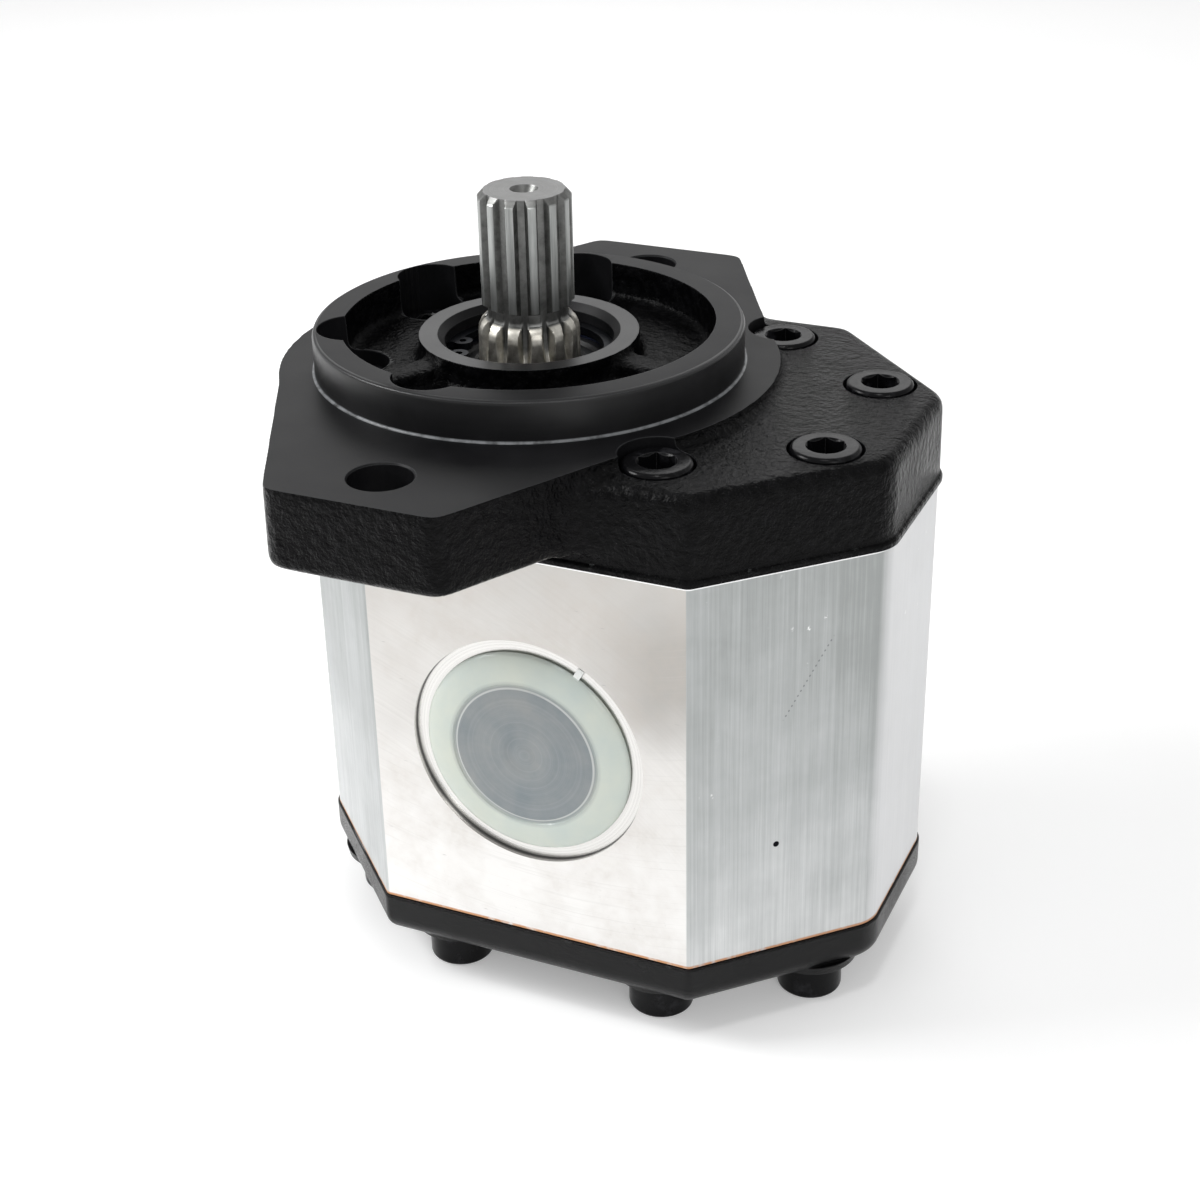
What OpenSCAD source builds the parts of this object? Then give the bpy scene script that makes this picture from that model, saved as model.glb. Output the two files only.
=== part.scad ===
// External gear pump with a two-bolt pilot flange and a splined drive shaft.
// Units are millimetres. The origin is the centre of the mounting face on the
// drive shaft's axis: +Z runs out along the shaft, +X points to the driven
// gear, the inlet port faces -Y and the outlet port faces +Y.

/* [Mounting flange] */
// pilot (spigot) diameter
pilot_d = 101.6; // [80:0.1:130]
// pilot height above the mounting face
pilot_h = 9.7; // [6:0.1:13]
// inner radius of the pilot ring
pilot_in_r = 43.5; // [38:0.5:46]
// distance between the two mounting holes
hole_span = 146; // [100:0.5:190]
// mounting hole diameter
hole_d = 14.3; // [10:0.1:18]
// thickness of the two ears
ear_t = 19; // [12:0.5:24]
// overall length across the ears
ear_span = 175; // [150:1:200]
// radius of the raised pad under the pilot
pad_r = 59.3; // [54:0.1:64]

/* [Housing] */
// half width of the housing across the ports
half_w = 54.2; // [48:0.1:60]
// half length of the housing along the two gear axes
half_l = 73.9; // [68:0.1:80]
// leg of the 45 degree corner chamfers
corner = 34; // [20:1:40]
// front cover thickness below the mounting face
front_t = 23.6; // [18:0.1:32]
// length of the aluminium gear body
body_len = 100.5; // [70:0.5:130]
// rear cover thickness without the screw pads
rear_t = 11; // [8:0.5:20]
// how far the covers stand out past the gear body
cover_lip = 1; // [0:0.1:2]

/* [Gears] */
// number of teeth on each gear
teeth = 12; // [10:1:16]
// gear module
mod = 3.65; // [3:0.05:4.5]
// pressure angle
press_angle = 25; // [20:1:28]
// gear face width
gear_w = 44; // [20:1:60]
// gear tip radius
tip_r = 25.4; // [24:0.1:26]
// gear root radius
root_r = 17.5; // [16:0.1:18]
// how much each tooth is thinned for backlash
thin = 0.36; // [0.2:0.02:0.6]
// bearing journal radius
journal_r = 13; // [11:0.5:14]

/* [Drive shaft] */
// spline tooth count
spline_n = 13; // [9:1:17]
// spline outer radius
spline_r = 10.95; // [9:0.05:14]
// spline root radius
spline_root_r = 9.35; // [8:0.05:12]
// shaft end above the mounting face
shaft_top = 41.2; // [30:0.1:56]
// lower end of the spline lands
spline_end = 14; // [10:0.5:20]
// radius of the seal journal, which the spline cutter also runs into
seal_r = 12; // [11:0.1:13]

/* [Fasteners] */
// screw thread radius
screw_r = 4.95; // [3:0.05:6]
// screw head radius
head_r = 7.9; // [6:0.1:9]
// screw head height
head_h = 10; // [6:0.5:12]
// hexagon socket across flats
socket_af = 8; // [5:0.5:10]

/* [Ports] */
// thread radius of the inlet port
inlet_r = 20.6; // [14:0.1:24]
// spot face radius of the inlet port
inlet_face_r = 29; // [20:0.1:32]
// thread radius of the outlet port
outlet_r = 16.6; // [12:0.1:22]
// spot face radius of the outlet port
outlet_face_r = 25; // [18:0.1:30]

/* [Hidden] */
$fn = 96;
eps = 0.01;
axis_d = teeth * mod;                  // distance between the gear axes
mid_x = axis_d / 2;                    // middle of the housing
chamber_r = tip_r + 0.35;
joint_f = -front_t;                    // front joint plane
joint_r = joint_f - body_len;          // rear joint plane
gear_mid = (joint_f + joint_r) / 2;
gear_top = gear_mid + gear_w / 2;
gear_low = gear_mid - gear_w / 2;
side_gap = 0.15;                       // gear side to bearing block
block_gap = 0.2;                       // bearing block to cover
screw_top = -2.7;                      // cast surface around the outer screws
seat = -11.9;                          // seat of the front screw heads
bore_r = 8.6;                          // counterbore round a screw head
scallop_r = 8.3;                       // relief in the pilot ring over a screw
hub_r = 26;
hub_h = 7;
pocket_z = -4;
web_z = 5.2;
seal_seat_r = 20;
seal_low = -9;
clip_z = 1;
clip_t = 1.75;
bush_r = 15;
run_gap = 0.05;                        // radial running clearance
pad_t = 1;                             // pads under the rear screw heads
spot_t = 1.5;                          // depth of the port spot faces
// screws sit at these points and at their mirror images
screw_near = [49.2, 40.5];
screw_far = [80.2, 19.8];
dowel_at = [mid_x, 42];
dowel_r = 4;
dowel_l = 16;
ear_corner_r = 5;

cast_black = [0.07, 0.07, 0.075];
alu = [0.78, 0.79, 0.80];
steel = [0.45, 0.43, 0.40];
bright = [0.70, 0.70, 0.68];
rubber = [0.05, 0.05, 0.05];
block_alu = [0.66, 0.67, 0.66];
bronze = [0.62, 0.45, 0.24];
plug_c = [0.78, 0.82, 0.76];

// ---- outlines -------------------------------------------------------------

function unit(v) = v / norm(v);

// arc that rounds corner c between p and n of a convex anticlockwise outline
function round_corner(p, c, n, r, steps = 10) =
    let (e1 = c - p, e2 = n - c,
         turn = atan2(e1[0] * e2[1] - e1[1] * e2[0], e1 * e2),
         start = atan2(e1[1], e1[0]) - 90,
         mid = c + unit(unit(p - c) + unit(n - c)) * r / cos(turn / 2))
    [for (i = [0:steps])
        mid + r * [cos(start + turn * i / steps), sin(start + turn * i / steps)]];

// octagon of the housing, grown by g; r1 rounds the corners beside the port
// faces and r2 rounds the corners beside the end faces
function octagon(g) =
    let (w = half_w + g, l = half_l + g, c = corner + 0.586 * g)
    [[l, -w + c], [l, w - c], [l - c, w], [-l + c, w],
     [-l, w - c], [-l, -w + c], [-l + c, -w], [l - c, -w]];

module housing_outline(g = 0, r1 = 2, r2 = 9) {
    pts = octagon(g);
    radii = [r2, r2, r1, r1, r2, r2, r1, r1];
    translate([mid_x, 0])
        polygon([for (i = [0:7])
            each round_corner(pts[(i + 7) % 8], pts[i], pts[(i + 1) % 8], radii[i])]);
}

// round pad and the two ears, whose flanks run into the pad circle almost as
// tangents; flank_x is where a flank's line would meet the end edge
module flange_outline() {
    flank_x = 20.5;
    end_y = ear_span / 2;
    lean = atan2(end_y, flank_x) - acos((pad_r - 0.3) / norm([flank_x, end_y]));
    foot = (pad_r - 0.3) * [cos(lean), sin(lean)];
    ear = [[-foot[0], -foot[1]], [-flank_x, -end_y], [flank_x, -end_y],
           [foot[0], -foot[1]], [foot[0], foot[1]], [flank_x, end_y],
           [-flank_x, end_y], [-foot[0], foot[1]]];
    circle(r = pad_r, $fn = 180);
    polygon([for (i = [0:7])
        each (i % 4 == 0 || i % 4 == 3) ? [ear[i]]
            : round_corner(ear[(i + 7) % 8], ear[i], ear[(i + 1) % 8], ear_corner_r)]);
}

// two overlapping circles on the gear axes
module two_bores(r) {
    for (x = [0, axis_d]) translate([x, 0]) circle(r = r);
}

// stadium round both gear axes
module stadium(r) {
    two_bores(r);
    translate([0, -r]) square([axis_d, 2 * r]);
}

module stadium_ring(r1, r2) {
    difference() {
        stadium(r2);
        stadium(r1);
    }
}

// seal path shaped like a 3: two arcs, a bridge and two tails, cut off below
module pressure_path(r1, r2, low) {
    difference() {
        union() {
            for (x = [0, axis_d]) translate([x, 0]) circle(r = r2);
            translate([r2 - 1, low]) square([axis_d - 2 * r2 + 2, r2 - r1]);
            translate([-chamber_r + 1.5, low]) square([chamber_r - r1, r2 - r1]);
            translate([axis_d + r1 - 1.5, low]) square([chamber_r - r1, r2 - r1]);
        }
        for (x = [0, axis_d]) translate([x, 0]) circle(r = r1);
        translate([-chamber_r, -chamber_r - 9])
            square([axis_d + 2 * chamber_r, chamber_r + 9 + low]);
    }
}

module at_screws(outer = true, inner = true) {
    for (sy = [-1, 1], p = [screw_near, screw_far]) {
        if (outer) translate([p[0], sy * p[1]]) children();
        if (inner) translate([axis_d - p[0], sy * p[1]]) children();
    }
}

module at_dowels() {
    for (sy = [-1, 1]) translate([dowel_at[0], sy * dowel_at[1]]) children();
}

// cuts a 45 degree chamfer of leg c along the straight sides of the housing
module rim_chamfer(g, c, z, up) {
    for (s = [[0, half_l], [90, half_w], [180, half_l], [270, half_w]])
        translate([mid_x, 0, z]) rotate([0, 0, s[0]])
            translate([s[1] + g, 0, 0]) rotate([0, 45, 0])
                cube([c * sqrt(2), 400, c * sqrt(2)], center = true);
    diag = (half_w + half_l - corner) / sqrt(2);
    for (a = [0:3], sa = [a * 90 + 45])
        translate([mid_x, 0, z]) rotate([0, 0, sa])
            translate([diag + g, 0, 0]) rotate([0, 45, 0])
                cube([c * sqrt(2), 400, c * sqrt(2)], center = true);
}

// ---- covers and body --------------------------------------------------------

module front_cover() {
    color(cast_black)
    difference() {
        union() {
            translate([0, 0, -ear_t]) linear_extrude(ear_t) flange_outline();
            difference() {
                translate([0, 0, joint_f]) linear_extrude(screw_top - joint_f)
                    housing_outline(cover_lip, 2.5, 9.5);
                rim_chamfer(cover_lip, 2, screw_top);
            }
            // pilot ring with a lead-in chamfer
            rotate_extrude($fn = 180)
                polygon([[0, -1], [pilot_d / 2, -1], [pilot_d / 2, pilot_h - 1.2],
                         [pilot_d / 2 - 1.2, pilot_h], [0, pilot_h]]);
        }
        // cast recess between the pilot ring and the seal hub
        difference() {
            translate([0, 0, pocket_z]) cylinder(r = pilot_in_r, h = 20, $fn = 180);
            cylinder(r = hub_r, h = hub_h * 2, center = true);
            for (a = [-111, -18.5]) rotate([0, 0, a])
                translate([hub_r - 2, -4.5, pocket_z - 1])
                    cube([pilot_in_r - hub_r + 3, 9, web_z - pocket_z + 1]);
        }
        // seal seat with its entry chamfer, ring groove and shaft bore
        rotate_extrude()
            polygon([[0, joint_f - 1], [14.5, joint_f - 1], [14.5, seal_low],
                     [seal_seat_r, seal_low], [seal_seat_r, clip_z - 0.1],
                     [seal_seat_r + 1.2, clip_z - 0.1],
                     [seal_seat_r + 1.2, clip_z + clip_t + 0.1],
                     [seal_seat_r, clip_z + clip_t + 0.1],
                     [seal_seat_r, hub_h - 1.6], [seal_seat_r + 1.6, hub_h],
                     [seal_seat_r + 1.6, hub_h + 9], [0, hub_h + 9]]);
        // mounting holes
        for (sy = [-1, 1]) translate([0, sy * hole_span / 2, -30])
            cylinder(d = hole_d, h = 40);
        // screw holes and counterbores; the inner ones also scallop the ring
        at_screws() translate([0, 0, joint_f - 1]) cylinder(r = 5.5, h = 14);
        at_screws(inner = false) translate([0, 0, seat]) cylinder(r = bore_r, h = 20);
        at_screws(outer = false) translate([0, 0, seat]) cylinder(r = scallop_r, h = 40);
        // body seal groove and dowel holes in the joint face
        translate([0, 0, joint_f - eps]) linear_extrude(2 + eps) stadium_ring(29.2, 32.2);
        at_dowels() translate([0, 0, joint_f - 1]) cylinder(r = dowel_r, h = 9.5);
    }
}

// port bored along -Y from the side face, turned with a = 180 for the outlet
module port_cut(r, face_r, a) {
    translate([mid_x, 0, gear_mid]) rotate([90, 0, a]) {
        translate([0, 0, half_w - spot_t]) cylinder(r = face_r, h = 5);
        translate([0, 0, 31]) cylinder(r = r, h = 40);
        translate([0, 0, half_w - spot_t - 1.2])
            cylinder(r1 = r, r2 = r + 1.2 + eps, h = 1.2 + eps);
        translate([0, 0, 8]) cylinder(r = r - 5.5, h = 40);
    }
}

module gear_body() {
    color(alu)
    difference() {
        translate([0, 0, joint_r]) linear_extrude(body_len) housing_outline();
        translate([0, 0, joint_r - 1]) linear_extrude(body_len + 2)
            two_bores(chamber_r);
        port_cut(inlet_r, inlet_face_r, 0);
        port_cut(outlet_r, outlet_face_r, 180);
        at_screws() {
            translate([0, 0, joint_f - 26]) cylinder(r = screw_r + 0.05, h = 30);
            translate([0, 0, joint_r - 4]) cylinder(r = screw_r + 0.05, h = 30);
        }
        at_dowels() {
            translate([0, 0, joint_f - 8.5]) cylinder(r = dowel_r, h = 10);
            translate([0, 0, joint_r - 1.5]) cylinder(r = dowel_r, h = 10);
        }
    }
}

module rear_cover() {
    color(cast_black)
    difference() {
        union() {
            difference() {
                translate([0, 0, joint_r - rear_t]) linear_extrude(rear_t)
                    housing_outline(cover_lip / 2, 2.5, 9.5);
                rim_chamfer(cover_lip / 2, 3, joint_r - rear_t);
            }
            intersection() {
                at_screws() translate([0, 0, joint_r - rear_t - pad_t])
                    cylinder(r = 11.5, h = pad_t + 2);
                translate([0, 0, joint_r - rear_t - pad_t - 1]) linear_extrude(9)
                    housing_outline(-3.5, 2.5, 9.5);
            }
        }
        at_screws() translate([0, 0, joint_r - rear_t - 3])
            cylinder(r = 5.5, h = rear_t + 5);
        translate([0, 0, joint_r - 2]) linear_extrude(2 + eps) stadium_ring(29.2, 32.2);
        at_dowels() translate([0, 0, joint_r - 8.5]) cylinder(r = dowel_r, h = 10);
    }
}

// ---- gears and shafts -------------------------------------------------------

// angle between a tooth's centre line and its flank at radius r
function flank(r) =
    let (pitch = axis_d / 2, base = pitch * cos(press_angle),
         a = r > base ? acos(base / r) : 0,
         half = 90 / teeth - thin / 2 / pitch * 180 / PI)
    half + (tan(press_angle) * 180 / PI - press_angle) - (tan(a) * 180 / PI - a);

function polar(r, a) = [r * cos(a), r * sin(a)];

module gear_profile() {
    base = axis_d / 2 * cos(press_angle);
    steps = 6;
    rs = [for (i = [0:steps]) base + (tip_r - base) * i / steps];
    pitch_a = 360 / teeth;
    polygon([for (t = [0:teeth - 1]) each concat(
        [polar(root_r, t * pitch_a - flank(base) - 2.0)],
        [polar(root_r + 1, t * pitch_a - flank(base) - 0.4)],
        [for (r = rs) polar(r, t * pitch_a - flank(r))],
        [polar(tip_r, t * pitch_a)],
        [for (i = [steps:-1:0]) polar(rs[i], t * pitch_a + flank(rs[i]))],
        [polar(root_r + 1, t * pitch_a + flank(base) + 0.4)],
        [polar(root_r, t * pitch_a + flank(base) + 2.0)])]);
}

module spline_profile() {
    pitch_a = 360 / spline_n;
    root_half = 0.31 * pitch_a;
    tip_half = 0.17 * pitch_a;
    polygon([for (t = [0:spline_n - 1]) each [
        polar(spline_root_r, t * pitch_a - 0.5 * pitch_a),
        polar(spline_root_r, t * pitch_a - root_half),
        polar(spline_r, t * pitch_a - tip_half),
        polar(spline_r + 0.02, t * pitch_a),
        polar(spline_r, t * pitch_a + tip_half),
        polar(spline_root_r, t * pitch_a + root_half)]]);
}

module gear_and_journals() {
    translate([0, 0, gear_low]) linear_extrude(gear_w) gear_profile();
    translate([0, 0, joint_r + 3]) cylinder(r = journal_r - 1, h = 3);
    translate([0, 0, joint_r + 4]) cylinder(r = journal_r, h = body_len - 8);
}

module drive_gear_shaft() {
    hob_r = 32;
    color(steel)
    difference() {
        union() {
            gear_and_journals();
            difference() {
                // seal journal, its rounded shoulder and the neck under the spline
                rotate_extrude()
                    polygon([[0, joint_f - 5], [journal_r - 1, joint_f - 5],
                             [journal_r - 1, -10], [seal_r, -9], [seal_r, 7.5],
                             [11.7, 8.8], [11.2, 10], [10.4, 10.9], [9, 11.2],
                             [9, 15], [0, 15]]);
                // run-out grooves of the spline cutter
                for (t = [0:spline_n - 1]) rotate([0, 0, (t + 0.5) * 360 / spline_n])
                    translate([9.6 + hob_r, 0, 12]) rotate([90, 0, 0])
                        cylinder(r = hob_r, h = 2.3, center = true);
            }
            intersection() {
                translate([0, 0, spline_end - 2]) linear_extrude(shaft_top - spline_end + 2)
                    spline_profile();
                rotate_extrude()
                    polygon([[0, spline_end - 1.5], [9, spline_end - 1.5],
                             [spline_r + 0.3, spline_end + 0.6],
                             [spline_r + 0.3, shaft_top - 1.8],
                             [spline_r - 1.4, shaft_top], [0, shaft_top]]);
            }
        }
        // centre drilling
        translate([0, 0, shaft_top - 3.2]) cylinder(r1 = 1.3, r2 = 3.3, h = 3.3);
        translate([0, 0, shaft_top - 7]) cylinder(r = 1.3, h = 7);
    }
}

module driven_gear_shaft() {
    color(steel)
    difference() {
        translate([axis_d, 0, 0]) rotate([0, 0, 180 / teeth]) gear_and_journals();
        translate([axis_d, 0, joint_f - 7]) cylinder(r1 = 1.3, r2 = 3.3, h = 3.1);
    }
}

// ---- bearings -----------------------------------------------------------------

// z0 is the face towards the cover and s is +1 when the cover is above it
module bearing_block(z0, s) {
    len = (body_len - gear_w) / 2 - side_gap - block_gap;
    color(block_alu)
    difference() {
        translate([0, 0, s > 0 ? z0 - len : z0]) linear_extrude(len)
            two_bores(chamber_r - 0.1);
        for (x = [0, axis_d]) translate([x, 0, z0 - 60]) cylinder(r = bush_r, h = 120);
        // seal groove in the cover side
        translate([0, 0, s > 0 ? z0 - 2.4 : z0 - 0.1]) linear_extrude(2.5)
            pressure_path(17.5, 21.5, -6);
        // relief pockets beside the mesh, on the gear side
        for (sy = [-1, 1]) translate([mid_x, sy * 9, s > 0 ? z0 - len : z0 + len])
            cube([9, 8, 3], center = true);
    }
}

module front_bearing_block() bearing_block(joint_f - block_gap, 1);
module rear_bearing_block() bearing_block(joint_r + block_gap, -1);

// wrapped plain bush with a lead-in at both ends
module bush(x, z) {
    len = 23;
    color(bronze)
    translate([x, 0, z]) rotate_extrude()
        polygon([[journal_r + run_gap, 0.5], [journal_r + run_gap + 0.5, 0],
                 [bush_r - 0.4, 0], [bush_r, 0.4], [bush_r, len - 0.4],
                 [bush_r - 0.4, len], [journal_r + run_gap + 0.5, len],
                 [journal_r + run_gap, len - 0.5]]);
}

module front_drive_bush() bush(0, gear_top + 1.2);
module front_driven_bush() bush(axis_d, gear_top + 1.2);
module rear_drive_bush() bush(0, gear_low - 24.2);
module rear_driven_bush() bush(axis_d, gear_low - 24.2);

// ---- seals --------------------------------------------------------------------

module shaft_seal_case() {
    color(bright)
    rotate_extrude()
        polygon([[seal_seat_r, seal_low], [seal_seat_r, 0], [seal_seat_r - 1, 0],
                 [seal_seat_r - 1, seal_low + 1.2], [15, seal_low + 1.2],
                 [15, seal_low], [seal_seat_r, seal_low]]);
}

module shaft_seal_lip() {
    color(rubber)
    rotate_extrude()
        polygon([[seal_seat_r - 1, seal_low + 1.2], [seal_seat_r - 1, -0.6],
                 [17.2, -0.6], [16.4, -1.4], [13.2, -0.2], [12.5, -0.7],
                 [13.6, -2.4], [12.9, -3.6], [seal_r + run_gap, -4.6],
                 [12.7, -5.6], [13.2, -7.2], [14.1, -7.2], [14.1, -4.5],
                 [14.6, -3.2], [17.2, -3.6], [17.2, seal_low + 1.2]]);
}

module seal_garter_spring() {
    color(bright)
    translate([0, 0, -5.9]) rotate_extrude() translate([14.9, 0]) circle(r = 0.75, $fn = 24);
}

module seal_retaining_ring() {
    // an open ring with an eye for the pliers at each end
    eye = [[cos(214), sin(214)] * 16.9, [cos(186), sin(186)] * 16.9];
    color(steel)
    translate([0, 0, clip_z]) linear_extrude(clip_t) difference() {
        union() {
            difference() {
                circle(r = seal_seat_r + 1.1);
                circle(r = 17.6);
                rotate([0, 0, 200]) translate([10, -3.2]) square([14, 6.4]);
            }
            for (e = eye) translate(e) circle(r = 2.3, $fn = 48);
        }
        for (e = eye) translate(e) circle(r = 0.9, $fn = 24);
    }
}

module body_seal(z) {
    color(rubber)
    translate([0, 0, z]) linear_extrude(2) stadium_ring(29.3, 32.1);
}

module front_body_seal() body_seal(joint_f);
module rear_body_seal() body_seal(joint_r - 2);

module pressure_seal(z) {
    color(rubber)
    translate([0, 0, z]) linear_extrude(2.5) pressure_path(17.6, 19.9, -5.9);
}

module front_pressure_seal() pressure_seal(joint_f - 2.5);
module rear_pressure_seal() pressure_seal(joint_r);

module seal_backup(z) {
    color(bronze)
    translate([0, 0, z]) linear_extrude(2.2) difference() {
        pressure_path(20, 21.4, -3.5);
        pressure_path(17.5, 19.95, -6);
    }
}

module front_seal_backup() seal_backup(joint_f - 2.5);
module rear_seal_backup() seal_backup(joint_r + 0.3);

// ---- fasteners ----------------------------------------------------------------

// socket head cap screw under a head seated at z = 0, head upwards
module cap_screw(len) {
    difference() {
        rotate_extrude()
            polygon([[0, -len], [screw_r - 1, -len], [screw_r, -len + 1],
                     [screw_r, 0], [head_r, 0], [head_r, head_h - 0.8],
                     [head_r - 0.8, head_h], [0, head_h]]);
        translate([0, 0, head_h - 5]) cylinder(r = socket_af / sqrt(3), h = 6, $fn = 6);
        translate([0, 0, head_h - 0.7])
            cylinder(r1 = socket_af / 2, r2 = socket_af / 2 + 0.85, h = 0.8);
    }
}

module front_screws_outer() {
    color(cast_black) at_screws(inner = false) translate([0, 0, seat]) cap_screw(35);
}

module front_screws_inner() {
    color(cast_black) at_screws(outer = false) translate([0, 0, seat]) cap_screw(35);
}

module rear_screws() {
    color(cast_black) at_screws()
        translate([0, 0, joint_r - rear_t - pad_t]) rotate([180, 0, 0]) cap_screw(35);
}

module dowels(z) {
    color(bright) at_dowels() translate([0, 0, z - dowel_l / 2])
        rotate_extrude() polygon([[0, 0], [dowel_r - 0.6, 0], [dowel_r, 0.6],
            [dowel_r, dowel_l - 0.6], [dowel_r - 0.6, dowel_l], [0, dowel_l]]);
}

module front_dowels() dowels(joint_f);
module rear_dowels() dowels(joint_r);

// ---- transport plugs ------------------------------------------------------------

// push-in plug: a domed flange on the spot face, closed by a flat disc with a
// shallow ring groove, and a hollow cup that enters the port
module port_plug(r, a, tab) {
    rim_r = r + 5;
    color(plug_c)
    translate([mid_x, 0, gear_mid]) rotate([90, 0, a])
        translate([0, 0, half_w - spot_t + 0.3]) {
            rotate_extrude()
                polygon([[0, 2.3], [r - 3.4, 2.3], [r - 3.2, 2], [r - 2.4, 2],
                         [r - 2.2, 2.35], [r + 0.5, 2.15], [r + 2.6, 1.75],
                         [rim_r - 0.9, 1.3], [rim_r - 0.3, 0.9], [rim_r, 0.4],
                         [rim_r, 0], [r - 0.4, 0], [r - 0.5, -8.8],
                         [r - 1.1, -9.8], [r - 1.6, -9.8], [r - 1.6, 0.9], [0, 0.9]]);
            if (tab) rotate([0, 0, 60]) translate([rim_r - 0.6, -0.8, 0])
                cube([3.4, 1.6, 0.8]);
        }
}

module inlet_port_plug() port_plug(inlet_r, 0, true);
module outlet_port_plug() port_plug(outlet_r, 180, false);

front_cover();
gear_body();
rear_cover();
drive_gear_shaft();
driven_gear_shaft();
front_bearing_block();
rear_bearing_block();
front_drive_bush();
front_driven_bush();
rear_drive_bush();
rear_driven_bush();
shaft_seal_case();
shaft_seal_lip();
seal_garter_spring();
seal_retaining_ring();
front_body_seal();
rear_body_seal();
front_pressure_seal();
rear_pressure_seal();
front_seal_backup();
rear_seal_backup();
front_dowels();
rear_dowels();
front_screws_outer();
front_screws_inner();
rear_screws();
inlet_port_plug();
outlet_port_plug();
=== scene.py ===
# %% [markdown]
# # A hydraulic gear pump, built and finished in Blender
#
# The pump's frame, sizes and joints come from its CAD model, which is loaded here as a
# fixed frame. This lesson adds what the CAD model can't carry: cast edges that are
# rounded, a shaft with cutter run-outs, a moulded plug, and the finish of every surface.
# Everything is in metres in the CAD's own frame: the origin is the centre of the
# mounting face, +Z runs out along the drive shaft, +X points to the driven gear.

# %% Load the frame
import bmesh
import bpy
import math
from mathutils import Matrix, Vector


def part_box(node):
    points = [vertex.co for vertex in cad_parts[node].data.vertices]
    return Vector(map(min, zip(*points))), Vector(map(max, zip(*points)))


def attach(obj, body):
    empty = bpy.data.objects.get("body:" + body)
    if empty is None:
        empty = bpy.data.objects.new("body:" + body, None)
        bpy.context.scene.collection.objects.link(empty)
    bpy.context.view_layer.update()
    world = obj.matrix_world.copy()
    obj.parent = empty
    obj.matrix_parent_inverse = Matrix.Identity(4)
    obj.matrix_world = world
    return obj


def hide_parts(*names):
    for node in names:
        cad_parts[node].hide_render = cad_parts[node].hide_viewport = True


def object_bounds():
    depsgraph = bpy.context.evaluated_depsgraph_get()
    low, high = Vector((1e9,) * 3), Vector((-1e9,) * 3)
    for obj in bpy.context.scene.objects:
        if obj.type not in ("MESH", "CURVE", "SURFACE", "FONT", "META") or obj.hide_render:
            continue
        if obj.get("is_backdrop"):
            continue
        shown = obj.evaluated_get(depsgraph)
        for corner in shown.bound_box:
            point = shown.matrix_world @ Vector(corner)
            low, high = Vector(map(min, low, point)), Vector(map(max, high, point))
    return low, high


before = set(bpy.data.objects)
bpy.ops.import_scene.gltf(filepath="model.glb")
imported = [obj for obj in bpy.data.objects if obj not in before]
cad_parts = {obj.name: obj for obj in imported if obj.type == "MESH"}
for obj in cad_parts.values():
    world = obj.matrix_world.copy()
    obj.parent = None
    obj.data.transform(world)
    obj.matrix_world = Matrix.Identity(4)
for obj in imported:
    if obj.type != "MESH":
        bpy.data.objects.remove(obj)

cad_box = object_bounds()
MM = 0.001
print("CAD box, mm:", [[round(c / MM, 1) for c in corner] for corner in cad_box])

# %% [markdown]
# ## Helpers for solid shapes
# A real pump is made by a few processes: casting, extrusion, turning, milling. The
# helpers follow them. `loft` stacks copies of an outline, as an extrusion or a plate with
# rounded rims has. `turned` spins a profile round an axis, as a lathe does, and `wrapped`
# does it with a radius for every angle. `machine` adds or removes one solid from another,
# as a cutter does.

# %% Outline and solid helpers
def rounded(points, radii, steps=10):
    """An anticlockwise convex outline with its corners rounded, as a list of (x, y)."""
    made = []
    for i, corner in enumerate(points):
        c = Vector(corner)
        arrive = (c - Vector(points[i - 1])).normalized()
        leave = (Vector(points[(i + 1) % len(points)]) - c).normalized()
        turn = math.atan2(arrive.cross(leave), arrive.dot(leave))
        centre = c + (leave - arrive).normalized() * radii[i] / math.cos(turn / 2)
        start = math.atan2(arrive.y, arrive.x) - math.pi / 2
        for k in range(steps + 1):
            a = start + turn * k / steps
            made.append((centre.x + radii[i] * math.cos(a), centre.y + radii[i] * math.sin(a)))
    return made


def linked(name, data):
    """A new object in the scene that shows the given data."""
    made = bpy.data.objects.new(name, data)
    bpy.context.scene.collection.objects.link(made)
    return made


def solid(name, verts, faces):
    """A mesh object at the origin from points in millimetres."""
    mesh = bpy.data.meshes.new(name)
    mesh.from_pydata([[c * MM for c in v] for v in verts], [], faces)
    mesh.validate()
    return linked(name, mesh)


def loft(name, rings):
    """A closed solid through outlines of equal length, given from low to high as (outline, z)."""
    n = len(rings[0][0])
    verts = [(x, y, z) for outline, z in rings for x, y in outline]
    faces = [[r * n + i, r * n + (i + 1) % n, (r + 1) * n + (i + 1) % n, (r + 1) * n + i]
             for r in range(len(rings) - 1) for i in range(n)]
    faces.append(list(range(n))[::-1])
    faces.append([(len(rings) - 1) * n + i for i in range(n)])
    return solid(name, verts, faces)


def wrapped(name, rows, at=(0, 0)):
    """A closed solid round Z through rows of (radii, z), with a radius for every angle."""
    steps = len(rows[0][0])
    verts, index, faces = [], [], []
    for radii, z in rows:
        if max(radii) < 1e-6:
            index.append([len(verts)] * steps)
            verts.append((at[0], at[1], z))
            continue
        index.append(list(range(len(verts), len(verts) + steps)))
        for k, r in enumerate(radii):
            a = 2 * math.pi * k / steps
            verts.append((at[0] + r * math.cos(a), at[1] + r * math.sin(a), z))
    for i, low in enumerate(index):
        high = index[(i + 1) % len(index)]
        for k in range(steps):
            ring = [low[k], low[(k + 1) % steps], high[(k + 1) % steps], high[k]]
            ring = [v for j, v in enumerate(ring) if v != ring[j - 1]]
            if len(ring) > 2:
                faces.append(ring)
    return solid(name, verts, faces)


def turned(name, profile, at=(0, 0), steps=96):
    """A solid of revolution round Z at a point; profile is (radius, z), anticlockwise."""
    return wrapped(name, [([r] * steps, z) for r, z in profile], at)


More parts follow.
